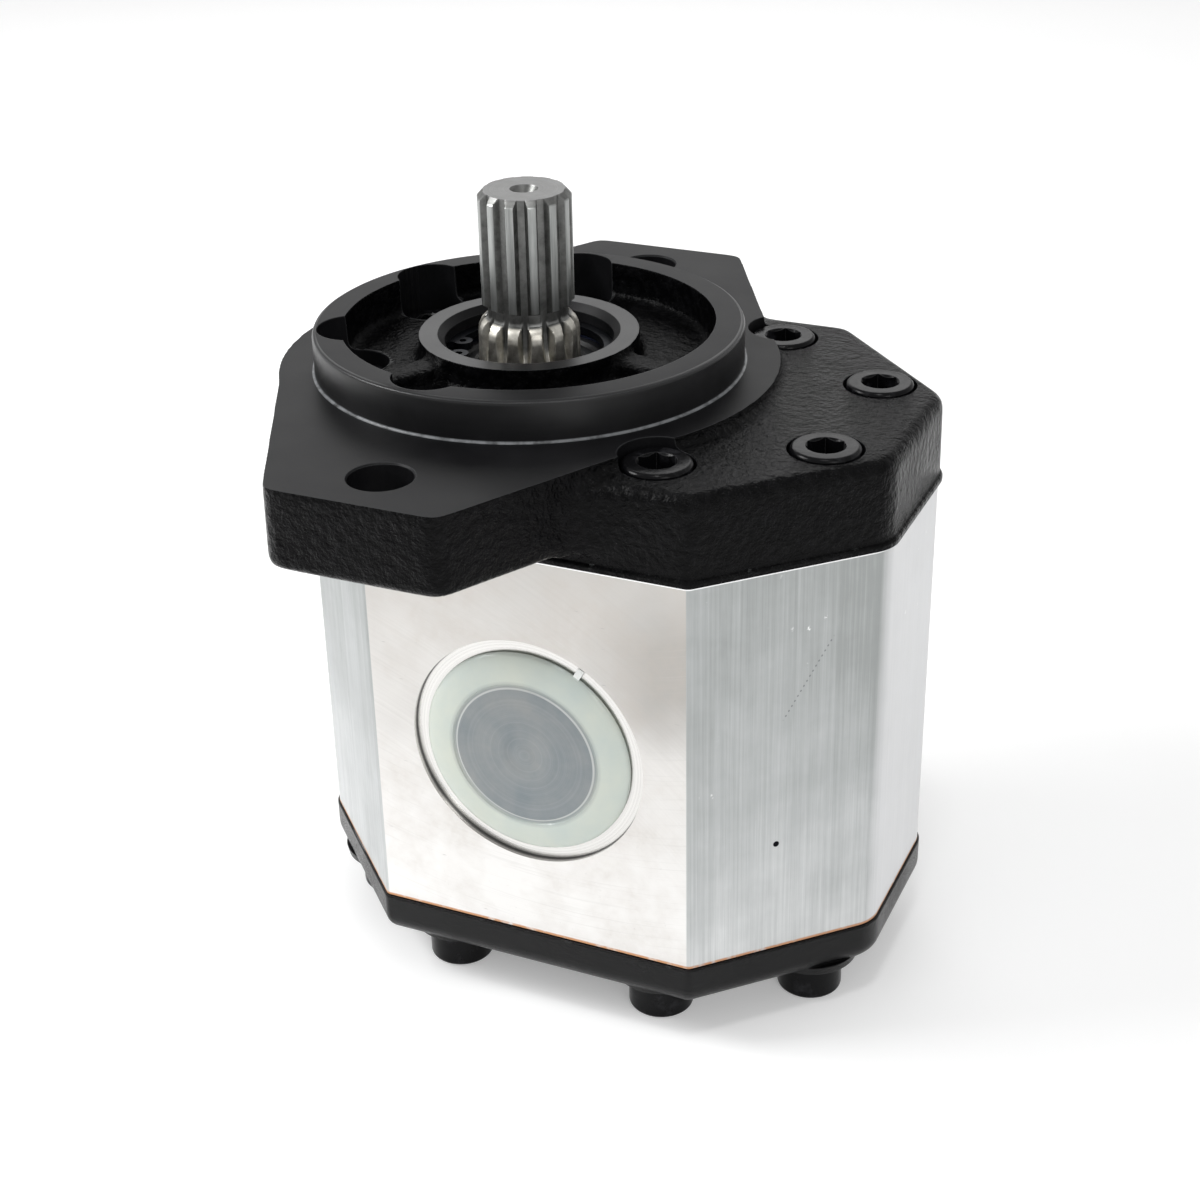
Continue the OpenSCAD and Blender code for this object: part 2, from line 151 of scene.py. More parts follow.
def drill(name, r, z0, z1, at=(0, 0), steps=64):
    """A plain round cutter or pin."""
    return turned(name, [(0, z0), (r, z0), (r, z1), (0, z1)], at, steps)


def turn_to_port(piece, side):
    """Lays a solid made along +Z so that +Z points out of a side port: -1 is -Y, +1 is +Y."""
    spin = Matrix.Rotation(math.pi / 2, 4, "X")
    flip = Matrix.Rotation(math.pi, 4, "Z") if side > 0 else Matrix.Identity(4)
    piece.data.transform(Matrix.Translation((MID_X * MM, 0, PORT_Z * MM)) @ flip @ spin)
    return piece


def applied(piece):
    """The piece with its modifiers made part of its mesh."""
    bpy.context.view_layer.update()
    view = piece.evaluated_get(bpy.context.evaluated_depsgraph_get())
    mesh = bpy.data.meshes.new_from_object(view)
    old = piece.data
    piece.modifiers.clear()
    piece.data = mesh
    mesh.name = piece.name
    bpy.data.meshes.remove(old)
    return piece


def machine(piece, tools, operation="DIFFERENCE"):
    """Cuts, adds or keeps the tools' shapes, one after another."""
    for tool in tools:
        cut = piece.modifiers.new("cut", "BOOLEAN")
        cut.operation = operation
        cut.solver = "MANIFOLD"
        cut.object = tool
        applied(piece)
        bpy.data.objects.remove(tool)
    return piece


def crisp(piece, degrees=32):
    """Smooth shading with sharp edges kept, and flat faces kept flat."""
    piece.data.shade_smooth()
    piece.data.set_sharp_from_angle(angle=math.radians(degrees))
    weigh = piece.modifiers.new("weigh", "WEIGHTED_NORMAL")
    weigh.keep_sharp = True
    weigh.weight = 90
    return applied(piece)


# %% [markdown]
# ## Sizes shared by several pieces
# These repeat the CAD model's own sizes, in millimetres, so that each piece made here
# meets the CAD pieces that stay. The joint planes are read from the body's box.

# %% Shared sizes
MID_X = 21.9
HALF_W, HALF_L, CORNER = 54.2, 73.9, 34.0
FRONT_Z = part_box("gear_body")[1].z / MM
REAR_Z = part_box("gear_body")[0].z / MM
PORT_Z = (FRONT_Z + REAR_Z) / 2
AXIS_D = 2 * MID_X
SCREW_AT = [(49.2, 40.5), (80.2, 19.8)]
OUTER = [(x, s * y) for x, y in SCREW_AT for s in (-1, 1)]
INNER = [(AXIS_D - x, s * y) for x, y in SCREW_AT for s in (-1, 1)]
SEAT_Z = -11.9
INLET_R, OUTLET_R = 20.6, 16.6
INLET_FACE, OUTLET_FACE = 29.0, 25.0
SPOT_DEPTH = 1.5
PILOT_R = 50.8
LANDS, GAPS = 10.95, 9.35
COLLAR_Z, SHAFT_END = 12.0, 41.2
print("joint planes, mm:", round(FRONT_Z, 2), round(REAR_Z, 2), " port height", round(PORT_Z, 2))


def housing(g=0.0, r_port=2.0, r_end=9.0, steps=10):
    """The housing's eight-sided outline, grown by g."""
    w, l, c = HALF_W + g, HALF_L + g, CORNER + 0.586 * g
    pts = [(l, -w + c), (l, w - c), (l - c, w), (-l + c, w),
           (-l, w - c), (-l, -w + c), (-l + c, -w), (l - c, -w)]
    radii = [r_end, r_end, r_port, r_port] * 2
    return [(x + MID_X, y) for x, y in rounded(pts, radii, steps)]


def cover(g):
    """The covers' outline, grown by g. Their corners are a little rounder."""
    return housing(g, 2.5, 9.5)


# %% [markdown]
# ## The camera and the studio
# A heavy metal part is best looked at slightly from above through a long lens, so that its
# uprights stay nearly parallel. A soft light from the upper left draws the highlights on
# the black casting, a second one from the right fills the far side, and a bright
# surrounding keeps the aluminium clean. A small one overhead draws a thin highlight along
# the rounded rims and on the screw heads. The surrounding is as bright at the horizon as the
# floor is, so the two meet without a line.

# %% Camera, floor and lights
FLOOR_REACH = 40000
lens = bpy.data.cameras.new("camera")
lens.lens = 63.55
lens.sensor_width = 36
camera = linked("camera", lens)
right = Vector((0.91491, 0.40315, -0.02026))
up = Vector((-0.17148, 0.43361, 0.88464))
back = right.cross(up)
camera.matrix_world = Matrix((
    (right.x, up.x, back.x, 0.20860),
    (right.y, up.y, back.y, -0.42312),
    (right.z, up.z, back.z, 0.18287),
    (0, 0, 0, 1)))
bpy.context.scene.camera = camera

floor = solid("floor", [(x * FLOOR_REACH, y * FLOOR_REACH, 0)
                        for x, y in [(-1, -1), (1, -1), (1, 1), (-1, 1)]], [[0, 1, 2, 3]])
floor.data.transform(Matrix.Translation((0, 0, cad_box[0].z)))
floor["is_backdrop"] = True


def soft_light(name, place, aim, size, watts):
    lamp = bpy.data.lights.new(name, "AREA")
    lamp.shape = "RECTANGLE"
    lamp.size, lamp.size_y = size
    lamp.energy = watts
    thing = linked(name, lamp)
    thing.location = place
    thing.rotation_euler = (Vector(aim) - Vector(place)).to_track_quat("-Z", "Y").to_euler()


soft_light("key", (-0.75, -0.30, 0.62), (0, 0, -0.05), (0.42, 0.42), 7.4)
soft_light("fill", (0.85, -0.75, 0.55), (0.02, 0, -0.05), (0.4, 0.4), 2.2)
soft_light("top", (0.16, -0.34, 1.0), (0, 0, 0), (0.14, 0.14), 1.7)
soft_light("back", (-0.42, 0.95, 0.58), (0, 0, -0.02), (0.9, 0.45), 1.8)

world = bpy.data.worlds.new("studio")
world.use_nodes = True
sky = world.node_tree
towards = sky.nodes.new("ShaderNodeTexCoord")
height = sky.nodes.new("ShaderNodeSeparateXYZ")
fade = sky.nodes.new("ShaderNodeValToRGB")
fade.color_ramp.elements[0].color = (0.74, 0.74, 0.74, 1)
fade.color_ramp.elements[1].color = (0.53, 0.53, 0.53, 1)
fade.color_ramp.elements[1].position = 0.40
sky.links.new(towards.outputs["Generated"], height.inputs[0])
sky.links.new(height.outputs["Z"], fade.inputs[0])
sky.links.new(fade.outputs["Color"], sky.nodes["Background"].inputs["Color"])
bpy.context.scene.world = world
bpy.context.scene.view_settings.view_transform = "Standard"
print("camera at", [round(c, 3) for c in camera.location])

# %% [markdown]
# ## Shader maths in plain Python
# A finish is mostly arithmetic on patterns: where is it worn, how rough is it there. The
# small class below wraps a socket, so that `1 - mask` or `a * b + 0.2` adds the Math
# nodes. Everything else comes from one method, `node`, which takes a node's type, its
# settings and its inputs.

# %% Expression class and finish builder
class Value:
    """A socket that Python arithmetic works on."""

    def __init__(self, finish, socket):
        self.finish = finish
        self.socket = socket

    def maths(self, operation, *others, clamp=False):
        return self.finish.node("ShaderNodeMath", {"operation": operation, "use_clamp": clamp},
                                {i: v for i, v in enumerate((self,) + others)})

    def __add__(self, other):
        return self.maths("ADD", other)

    def __sub__(self, other):
        return self.maths("SUBTRACT", other)

    def __rsub__(self, other):
        return self * -1 + other

    def __mul__(self, other):
        return self.maths("MULTIPLY", other)

    def __truediv__(self, other):
        return self.maths("DIVIDE", other)

    def __pow__(self, other):
        return self.maths("POWER", other)

    __radd__ = __add__
    __rmul__ = __mul__

    def limited(self):
        """The value kept between 0 and 1."""
        return self.maths("ADD", 0.0, clamp=True)

    def above(self, edge, soft):
        """0 below the edge and 1 above it, with a soft step."""
        return ((self - edge) / soft + 0.5).limited()

    def below(self, edge, soft):
        """1 below the edge and 0 above it."""
        return 1 - self.above(edge, soft)


class Finish:
    """One material and the patterns it is mixed from."""

    def __init__(self, name):
        self.material = bpy.data.materials.new(name)
        self.material.use_nodes = True
        self.tree = self.material.node_tree
        self.shader = self.tree.nodes["Principled BSDF"]
        where = self.node("ShaderNodeTexCoord", {}, {}, "Object")
        self.place = self.node("ShaderNodeVectorMath", {"operation": "SCALE"},
                               {0: where, "Scale": 1000.0}, "Vector")
        split = self.tree.nodes.new("ShaderNodeSeparateXYZ")
        self.tree.links.new(self.place.socket, split.inputs[0])
        self.x, self.y, self.z = [Value(self, s) for s in split.outputs]

    def node(self, kind, settings, inputs, output=0):
        made = self.tree.nodes.new(kind)
        for key, setting in settings.items():
            setattr(made, key, setting)
        for key, given in inputs.items():
            if isinstance(given, Value):
                self.tree.links.new(given.socket, made.inputs[key])
            else:
                made.inputs[key].default_value = given
        return Value(self, made.outputs[output])

    def noise(self, scale, detail=3.0, rough=0.5, at=None):
        """Noise from 0 to 1; scale is in features per millimetre."""
        return self.node("ShaderNodeTexNoise", {}, {"Vector": at or self.place, "Scale": scale,
                                                    "Detail": detail, "Roughness": rough}, "Fac")

    def cells(self, scale, at):
        """Distance to the nearest of many scattered points."""
        return self.node("ShaderNodeTexVoronoi", {}, {"Vector": at, "Scale": scale}, "Distance")

    def grooves(self, distance, detail=4.0, rough=0.7):
        """Lines that follow a distance, as a cutter leaves them."""
        return self.noise(1.0, detail, rough, self.vector(distance, 0.0, 0.0))

    def vector(self, x, y, z):
        return self.node("ShaderNodeCombineXYZ", {}, {0: x, 1: y, 2: z}, "Vector")

    def stretched(self, x, y, z):
        """The place, scaled on each axis, for grain that runs one way."""
        return self.vector(self.x * x, self.y * y, self.z * z)

    def radius(self):
        """Distance from the drive shaft's axis."""
        return (self.x * self.x + self.y * self.y) ** 0.5

    def side_radius(self, x0, z0):
        """Distance from a line along Y through (x0, z0), for the port sides."""
        a = self.x - x0
        b = self.z - z0
        return (a * a + b * b) ** 0.5

    def by_port(self, inlet, outlet):
        """One number on the inlet's side of the pump and another on the outlet's."""
        return self.node("ShaderNodeMix", {"data_type": "FLOAT"},
                         {0: self.y.above(0.0, 1.0), 2: inlet, 3: outlet})

    def mix(self, factor, low, high):
        """A colour between two colours."""
        return self.node("ShaderNodeMix", {"data_type": "RGBA"},
                         {0: factor, 6: colour(low), 7: colour(high)}, 2)

    def soft_edge(self, radius):
        """The normal as if every edge were rounded by a radius in millimetres."""
        return self.node("ShaderNodeBevel", {"samples": 4}, {"Radius": radius * MM}, "Normal")

    def edge(self, radius):
        """0 on open faces, rising at edges: rubbed wear on some finishes, and a painted edge highlight
        on the machined paint.
        """
        flat = self.node("ShaderNodeNewGeometry", {}, {}, "Normal")
        same = self.node("ShaderNodeVectorMath", {"operation": "DOT_PRODUCT"},
                         {0: flat, 1: self.soft_edge(radius)}, "Value")
        return (1 - same).limited()

    def bump(self, height, distance, strength=1.0, under=None):
        """A Bump node; distance is in millimetres."""
        inputs = {"Height": height, "Distance": distance * MM, "Strength": strength}
        if under is not None:
            inputs["Normal"] = under
        return self.node("ShaderNodeBump", {}, inputs, "Normal")

    def made(self, constants, **varying):
        """Sets fixed sockets directly and links the ones that vary."""
        for name, given in constants.items():
            self.shader.inputs[name].default_value = given
        for name, given in varying.items():
            self.tree.links.new(given.socket, self.shader.inputs[name.replace("_", " ")])
        return self.material


def colour(c):
    """A colour socket as it is, or red, green and blue with full alpha."""
    return c if isinstance(c, Value) else (*c, 1)


# %% [markdown]
# ## Finishes of the black parts
# The covers are sand-cast iron under glossy black paint. The sand leaves soft lumps about
# two millimetres apart, which the paint fills only partly, so the sides sparkle in small
# highlights. Where a face was turned or milled before painting, the surface is flat and
# satin, with rings left by the tool. The turned pilot is glossier than the milled pad. A thin
# light line round the pilot's foot and along the machined edges is painted highlight, and the
# hollow's paint is a duller copy that stands in for the shade there.

# %% Black finishes
def cast_paint(name, size, depth, gloss):
    f = Finish(name)
    lumps = f.noise(size, 3.0, 0.55)
    sand = f.noise(size * 3.2, 3.0, 0.6)
    dust = f.noise(0.06, 4.0, 0.6).above(0.62, 0.3)
    shade = f.mix(lumps.above(0.62, 0.35), (0.0012, 0.0012, 0.0014), (0.0050, 0.0050, 0.0055))
    chip = f.edge(0.5).above(0.05, 0.06) * f.noise(0.3, 4.0, 0.7).above(0.66, 0.08)
    shade = f.mix(chip * 0.5, shade, (0.16, 0.17, 0.17))
    under = f.bump(sand, 0.26, 0.8, f.soft_edge(0.5))
    return f.made({"Specular IOR Level": gloss},
                  Base_Color=shade, Roughness=0.08 + 0.12 * sand + 0.20 * dust,
                  Normal=f.bump(lumps, depth, 0.9, under))


def machined_paint(name, gloss, rough):
    f = Finish(name)
    rings = f.noise(1.0, 4.0, 0.7, f.vector(f.radius() * 3.2, 0.0, f.z * 0.2))
    haze = f.noise(0.05, 4.0, 0.6)
    fine = f.noise(2.2, 2.0, 0.5)
    nick = f.cells(0.11, f.stretched(1.0, 0.16, 1.0)).below(0.018, 0.02)
    shade = f.mix((haze * 0.7 + rings * 0.3).above(0.52, 0.3),
                  (0.0025, 0.0025, 0.003), (0.008, 0.008, 0.009))
    shade = f.mix(nick * 0.5, shade, (0.10, 0.10, 0.105))
    # painted highlight: a thin light line along the machined edges, standing in for light caught on
    # their small rounding
    painted_edge_highlight = f.edge(0.35).above(0.03, 0.04) * (0.6 + 0.4 * f.noise(0.12, 3.0))
    shade = f.mix(painted_edge_highlight * 0.35, shade, (0.13, 0.135, 0.14))
    # painted highlight: a light broken ring round the pilot's foot, where its small fillet catches
    # light
    painted_foot_highlight = f.radius().above(PILOT_R - 0.08, 0.1) * f.radius().below(PILOT_R + 0.6, 0.1)
    painted_foot_highlight = painted_foot_highlight * f.z.below(0.45, 0.2)
    shade = f.mix(painted_foot_highlight * f.noise(0.3, 4.0, 0.6).above(0.40, 0.3) * 0.8, shade, (0.24, 0.25, 0.26))
    return f.made({"Specular IOR Level": gloss},
                  Base_Color=shade, Roughness=rough + 0.16 * haze + 0.08 * rings,
                  Normal=f.bump(rings * 0.7 + fine * 0.3, 0.03, 0.5, f.soft_edge(0.35)))


def black_oxide():
    f = Finish("black_oxide_screw")
    grime = f.noise(0.5, 4.0, 0.6)
    rub = f.noise(0.22, 3.0, 0.6).above(0.60, 0.16)
    shade = f.mix(rub, (0.003, 0.003, 0.0035), (0.016, 0.016, 0.018))
    shade = f.mix(f.edge(0.25).above(0.04, 0.05) * 0.4, shade, (0.08, 0.08, 0.08))
    return f.made({"Specular IOR Level": 0.13},
                  Base_Color=shade, Roughness=0.08 + 0.24 * grime,
                  Normal=f.bump(grime, 0.08, 0.7, f.soft_edge(0.25)))


CAST = cast_paint("black_cast_paint", 0.52, 0.72, 0.08)
# painted shade: a duller copy of the cast paint, with less shine, for the hollow between hub and pilot
# ring, where shade falls
HOLLOW_SHADE = cast_paint("black_hollow_paint", 0.42, 0.60, 0.035)
PLATE = cast_paint("black_plate_paint", 0.9, 0.12, 0.18)
MACHINED = machined_paint("black_machined_paint", 0.15, 0.31)
WALL = machined_paint("black_turned_paint", 0.42, 0.22)
OXIDE = black_oxide()
print("black finishes:", [m.name for m in (CAST, HOLLOW_SHADE, PLATE, MACHINED, WALL, OXIDE)])

# %% [markdown]
# ## Finishes of the aluminium body
# The body is sawn from an extruded bar. The die draws fine lines along its length on the
# sides that stay as extruded. The two port sides are fly-cut afterwards, which leaves
# faint wide arcs, and the spot face round the port is turned. Every side carries small
# marks of use: nicks along the edges, a row of pits, one deeper pit, and a little rust
# from the rear cover at the joint.

# %% Marks on the aluminium
SLANT_START = MID_X + HALF_L - CORNER - HALF_W
PIT_AT = (77.3, -38.7, -94.4)
PIT_R = 0.75
ROW_ACROSS, ROW_DOWN = 29.0, 28.5
ROW_HALF = 11.0
ROW_LEAN = math.radians(32.3)


def across_slant(f):
    """How far a point on a slanted side is from the port side, in millimetres."""
    return (f.x - f.y.maths("ABSOLUTE") - SLANT_START) * math.sqrt(0.5)


def nicks(f, shade):
    """Bright flakes near the top of a slanted side and along its edge."""
    across = across_slant(f)
    high = f.z.above(FRONT_Z - 26, 14.0) * across.above(24.0, 12.0)
    edge = across.above(1.0, 1.0) * across.below(6.5, 2.0)
    flake = f.cells(0.22, f.stretched(1.0, 1.0, 0.6)).below(0.10, 0.05)
    flake = flake * f.noise(1.3, 3.0).above(0.54, 0.08)
    return f.mix(flake * (high + edge * 0.8).limited() * 0.8, shade, (0.97, 0.97, 0.97))


def pits(f, shade):
    """A leaning row of fine pits on the inlet's slanted side, and one deeper pit below it."""
    across = across_slant(f) - ROW_ACROSS
    down = f.z - FRONT_Z + ROW_DOWN
    along = across * math.sin(ROW_LEAN) + down * math.cos(ROW_LEAN)
    off = across * math.cos(ROW_LEAN) - down * math.sin(ROW_LEAN)
    bead = (along * 0.75).maths("FRACT") - 0.5
    row = ((bead * bead + off * off) ** 0.5).below(0.20, 0.12) * f.y.below(0.0, 1.0)
    row = row * along.above(-ROW_HALF, 1.0) * along.below(ROW_HALF, 1.0)
    shade = f.mix(row * 0.55, shade, (0.10, 0.10, 0.11))
    x, y, z = [c - at for c, at in zip((f.x, f.y, f.z), PIT_AT)]
    deep = ((x * x + y * y + z * z) ** 0.5).below(PIT_R, 0.15)
    return f.mix(deep, shade, (0.006, 0.006, 0.008))


def lip_highlight_and_rust(f, shade, rusty):
    """A painted highlight under the front cover's lip, and rust at the rear cover with its mask."""
    # painted highlight: a light band along the body's top edge under the lip, where that edge catches
    # light
    shade = f.mix(f.z.above(FRONT_Z - 0.75, 0.2), shade, (0.97, 0.97, 0.975))
    rust = f.z.below(REAR_Z + 0.95, 0.3) * f.noise(0.4, 3.0).above(0.36, 0.2) * 0.9
    return f.mix(rust, shade, rusty), rust


# %% Aluminium finishes
def extruded():
    f = Finish("extruded_aluminium")
    lines = f.noise(1.0, 5.0, 0.72, f.stretched(1.5, 1.5, 0.010))
    broad = f.noise(1.0, 3.0, 0.6, f.stretched(0.16, 0.16, 0.006))
    short = f.noise(1.0, 4.0, 0.7, f.stretched(2.6, 2.6, 0.07))
    blotch = f.noise(0.035, 4.0, 0.62)
    handled = f.noise(0.16, 5.0, 0.65).above(0.58, 0.2)
    # painted shade and light: the sides are darker at the top and lighter towards the bottom, as the
    # light falls on them
    low = f.z.below(-80.0, 90.0)
    tone = lines * 0.36 + broad * 0.20 + short * 0.14 + blotch * 0.34 + low * 0.24 - 0.13
    shade = f.mix(tone.above(0.45, 0.18), (0.35, 0.365, 0.36), (0.49, 0.505, 0.505))
    shade = f.mix(tone.above(0.63, 0.18), shade, (0.68, 0.69, 0.69))
    # painted light: the end faces are lightened, as they catch more light than the slanted sides; both
    # have the same finish
    end = (f.x - MID_X).maths("ABSOLUTE").above(HALF_L - 0.7, 1.6)
    shade = f.mix(end * 0.72, shade, (0.86, 0.86, 0.87))
    shade = nicks(f, shade)
    scratch = f.cells(0.05, f.stretched(1.0, 1.0, 0.55)).below(0.012, 0.012)
    shade = f.mix(scratch * 0.6, shade, (0.92, 0.92, 0.92))
    shade = pits(f, shade)
    shade, rust = lip_highlight_and_rust(f, shade, (0.50, 0.22, 0.08))
    return f.made({}, Metallic=1 - rust,
                  Base_Color=shade, Roughness=0.36 + 0.12 * blotch + 0.10 * lines + 0.05 * handled,
                  Normal=f.bump(lines * 0.6 + short * 0.4, 0.05, 0.5))


def milled():
    f = Finish("milled_aluminium")
    arcs = f.grooves(f.side_radius(-95.0, -250.0) * 1.1)
    fine = f.grooves(f.side_radius(120.0, 60.0) * 2.2, 3.0, 0.6)
    haze = f.noise(0.03, 3.0, 0.55)
    shade = f.mix((arcs * 0.4 + haze * 0.6).above(0.5, 0.35),
                  (0.62, 0.605, 0.585), (0.80, 0.785, 0.765))
    # painted shadow: a darker patch at the upper right of the port sides, where the front cover's ear
    # shades the face
    painted_ear_shadow = f.side_radius(MID_X + 38.0, FRONT_Z - 22.0) + 26.0 * f.noise(0.045, 3.0)
    shade = f.mix(painted_ear_shadow.below(27.0, 20.0) * 0.75, shade, (0.33, 0.32, 0.305))
    # painted shade and light: the inlet side is darker towards the top, and both port sides are
    # lighter towards the bottom, as the light falls
    top = f.z.above(FRONT_Z - 24.0, 60.0) * f.y.below(0.0, 1.0)
    shade = f.mix(top * 0.62, shade, (0.46, 0.445, 0.42))
    shade = f.mix(f.z.below(REAR_Z + 34.0, 40.0) * 0.9, shade, (0.85, 0.84, 0.825))
    stain = f.noise(0.035, 4.0, 0.65).above(0.52, 0.16) * f.noise(0.6, 4.0, 0.6)
    shade = f.mix(stain * 0.55, shade, (0.52, 0.475, 0.43))
    swirl = f.noise(1.0, 3.0, 0.7, f.vector(f.side_radius(30.0, 60.0) * 1.7, 0.0, f.x * 0.02))
    shade = f.mix(swirl.above(0.60, 0.1) * 0.20, shade, (0.55, 0.54, 0.52))
    hair = f.cells(0.30, f.stretched(0.22, 1.0, 1.6)).below(0.035, 0.03)
    shade = f.mix(hair * f.noise(0.08).above(0.5, 0.1) * 0.6, shade, (0.30, 0.30, 0.30))
    bits = f.noise(0.9, 5.0, 0.7).above(0.68, 0.08)
    shade = f.mix(bits * 0.3, shade, (0.5, 0.49, 0.47))
    shade, rust = lip_highlight_and_rust(f, shade, (0.58, 0.25, 0.08))
    return f.made({}, Metallic=1 - rust,
                  Base_Color=shade, Roughness=0.36 + 0.12 * haze + 0.08 * arcs,
                  Normal=f.bump(arcs * 0.5 + fine * 0.5, 0.035, 0.5))


def turned_aluminium():
    f = Finish("turned_aluminium")
    r = f.side_radius(MID_X, PORT_Z)
    rings = f.grooves(r * 2.6)
    haze = f.noise(0.08, 3.0, 0.5)
    shade = f.mix(rings.above(0.5, 0.5), (0.56, 0.55, 0.53), (0.84, 0.83, 0.81))
    # painted shade: a dark ring at the foot of the spot face's wall, where the corner between floor
    # and wall is shaded
    corner = (r - f.by_port(INLET_FACE, OUTLET_FACE)).above(-0.25, 0.1)
    corner = corner * f.y.maths("ABSOLUTE").below(HALF_W - 0.75, 0.5)
    shade = f.mix(corner * 0.72, shade, (0.08, 0.08, 0.08))
    return f.made({"Metallic": 1.0}, Base_Color=shade, Roughness=0.20 + 0.10 * haze,
                  Normal=f.bump(rings, 0.04, 0.6))


EXTRUDED = extruded()
MILLED = milled()
TURNED = turned_aluminium()
print("aluminium finishes:", [m.name for m in (EXTRUDED, MILLED, TURNED)])

# %% [markdown]
# ## Finishes of the steel, bronze, rubber and plastic pieces
# The shaft is bare steel: the crests of its splines are ground bright, and the hobbed
# gaps between them are darker and hold a little oil. The plug is milky polyethylene,
# which lets some light through. The pieces inside have plain metal, rubber and nylon.

# %% Other finishes
def shaft_steel():
    f = Finish("shaft_steel")
    r = f.radius()
    crest = r.above(LANDS - 0.23, 0.16) * f.z.above(COLLAR_Z, 0.5)
    mark = f.noise(1.0, 4.0, 0.65, f.stretched(1.2, 1.2, 0.05))
    oil = f.noise(0.35, 5.0, 0.65)
    rings = f.noise(1.0, 4.0, 0.7, f.vector(0.0, 0.0, f.z * 3.0))
    dark = f.mix(oil.above(0.5, 0.4), (0.12, 0.122, 0.118), (0.25, 0.252, 0.245))
    light = f.mix(mark.above(0.5, 0.5), (0.25, 0.26, 0.255), (0.46, 0.47, 0.46))
    shade = f.mix(crest, dark, light)
    face = f.grooves(r * 2.4)
    end = f.mix(face, (0.13, 0.13, 0.13), (0.30, 0.30, 0.295))
    shade = f.mix(f.z.above(SHAFT_END - 0.2, 0.1), shade, end)
    # painted light: the collar and the hob's scoops on it are lightened, as their upward faces catch
    # the light
    shoulder = f.z.below(COLLAR_Z, 0.4) * r.above(10.2, 0.5)
    painted_collar_light = f.mix(oil.above(0.48, 0.3), (0.42, 0.40, 0.35), (0.72, 0.70, 0.64))
    shade = f.mix(shoulder, shade, painted_collar_light)
    return f.made({"Metallic": 1.0}, Base_Color=shade,
                  Roughness=0.30 + 0.22 * oil - 0.06 * crest,
                  Normal=f.bump(mark * 0.6 + rings * 0.4, 0.04, 0.5))


def plain_metal(name, dark, light, rough, grain=(1.0, 1.0, 1.0)):
    f = Finish(name)
    lines = f.noise(1.0, 4.0, 0.65, f.stretched(*grain))
    haze = f.noise(0.12, 4.0, 0.6)
    shade = f.mix((lines * 0.5 + haze * 0.5).above(0.5, 0.4), dark, light)
    return f.made({"Metallic": 1.0}, Base_Color=shade, Roughness=rough + 0.14 * haze,
                  Normal=f.bump(lines, 0.03, 0.5))


def soft_black():
    f = Finish("seal_rubber")
    pores = f.noise(2.5, 3.0, 0.6)
    shade = f.mix(pores.above(0.55, 0.3), (0.010, 0.010, 0.011), (0.028, 0.028, 0.030))
    return f.made({"Specular IOR Level": 0.4}, Base_Color=shade, Roughness=0.42 + 0.2 * pores,
                  Normal=f.bump(pores, 0.03, 0.5))


def milky_plastic():
    f = Finish("milky_polyethylene")
    r = f.side_radius(MID_X, PORT_Z)
    past_bore = r - f.by_port(INLET_R, OUTLET_R)
    disc = past_bore.below(-2.4, 2.2)
    # painted highlight: a light ring on the disc's edge where it steps down into the groove, as the
    # step catches light
    line = past_bore.above(-3.5, 0.15) * past_bore.below(-3.1, 0.15)
    cloud = f.noise(0.07, 4.0, 0.6)
    flow = f.grooves(r * 1.3)
    pale = f.mix(cloud.above(0.5, 0.5), (0.50, 0.565, 0.54), (0.61, 0.64, 0.56))
    deep = f.mix(cloud.above(0.5, 0.4), (0.165, 0.200, 0.222), (0.27, 0.285, 0.285))
    deep = f.mix(flow.above(0.56, 0.2) * 0.25, deep, (0.37, 0.39, 0.395))
    shade = f.mix(disc, pale, deep)
    shade = f.mix(line * 0.7, shade, (0.66, 0.68, 0.66))
    shade = f.mix(past_bore.above(5.15, 0.2), shade, (0.86, 0.88, 0.86))
    return f.made({"IOR": 1.5, "Subsurface Weight": 0.25, "Subsurface Scale": 1.0,
                   "Subsurface Radius": (0.003, 0.003, 0.003)},
                  Base_Color=shade, Roughness=0.17 + 0.12 * cloud,
                  Normal=f.bump(flow, 0.05, 0.4))


def nylon():
    f = Finish("backup_nylon")
    grain = f.noise(1.4, 3.0, 0.6)
    shade = f.mix(grain.above(0.5, 0.5), (0.46, 0.40, 0.29), (0.60, 0.53, 0.40))
    return f.made({}, Base_Color=shade, Roughness=0.45 + 0.15 * grain, Normal=f.bump(grain, 0.03))


def pale_floor():
    f = Finish("pale_floor")
    shade = f.mix(f.noise(0.004), (0.86, 0.86, 0.86), (0.9, 0.9, 0.9))
    return f.made({"Emission Color": (1, 1, 1, 1), "Emission Strength": 0.27},
                  Base_Color=shade, Roughness=0.6 + 0.1 * f.noise(0.01))


STEEL = shaft_steel()
GROUND = plain_metal("ground_steel", (0.42, 0.41, 0.39), (0.62, 0.61, 0.59), 0.22, (0.3, 0.3, 3.0))
PRESSED = plain_metal("pressed_steel", (0.30, 0.31, 0.33), (0.50, 0.51, 0.53), 0.30, (0.5, 0.5, 0.5))
RING = plain_metal("phosphated_steel", (0.007, 0.008, 0.010), (0.022, 0.024, 0.030), 0.40)
CASE = plain_metal("coated_steel", (0.012, 0.016, 0.034), (0.035, 0.045, 0.085), 0.26, (0.5, 0.5, 0.5))
BRONZE = plain_metal("lined_bronze", (0.38, 0.25, 0.12), (0.62, 0.44, 0.22), 0.34, (0.4, 0.4, 2.5))
BLOCK = plain_metal("machined_alloy", (0.48, 0.485, 0.48), (0.70, 0.70, 0.69), 0.32, (0.2, 3.0, 3.0))
RUBBER = soft_black()
PLASTIC = milky_plastic()
NYLON = nylon()
floor.data.materials.append(pale_floor())
print("finishes:", len(bpy.data.materials))

# %% [markdown]
# ## Putting a piece in place
# A finished piece rides on its body, hides the CAD nodes it stands for and takes the
# finishes it is given.

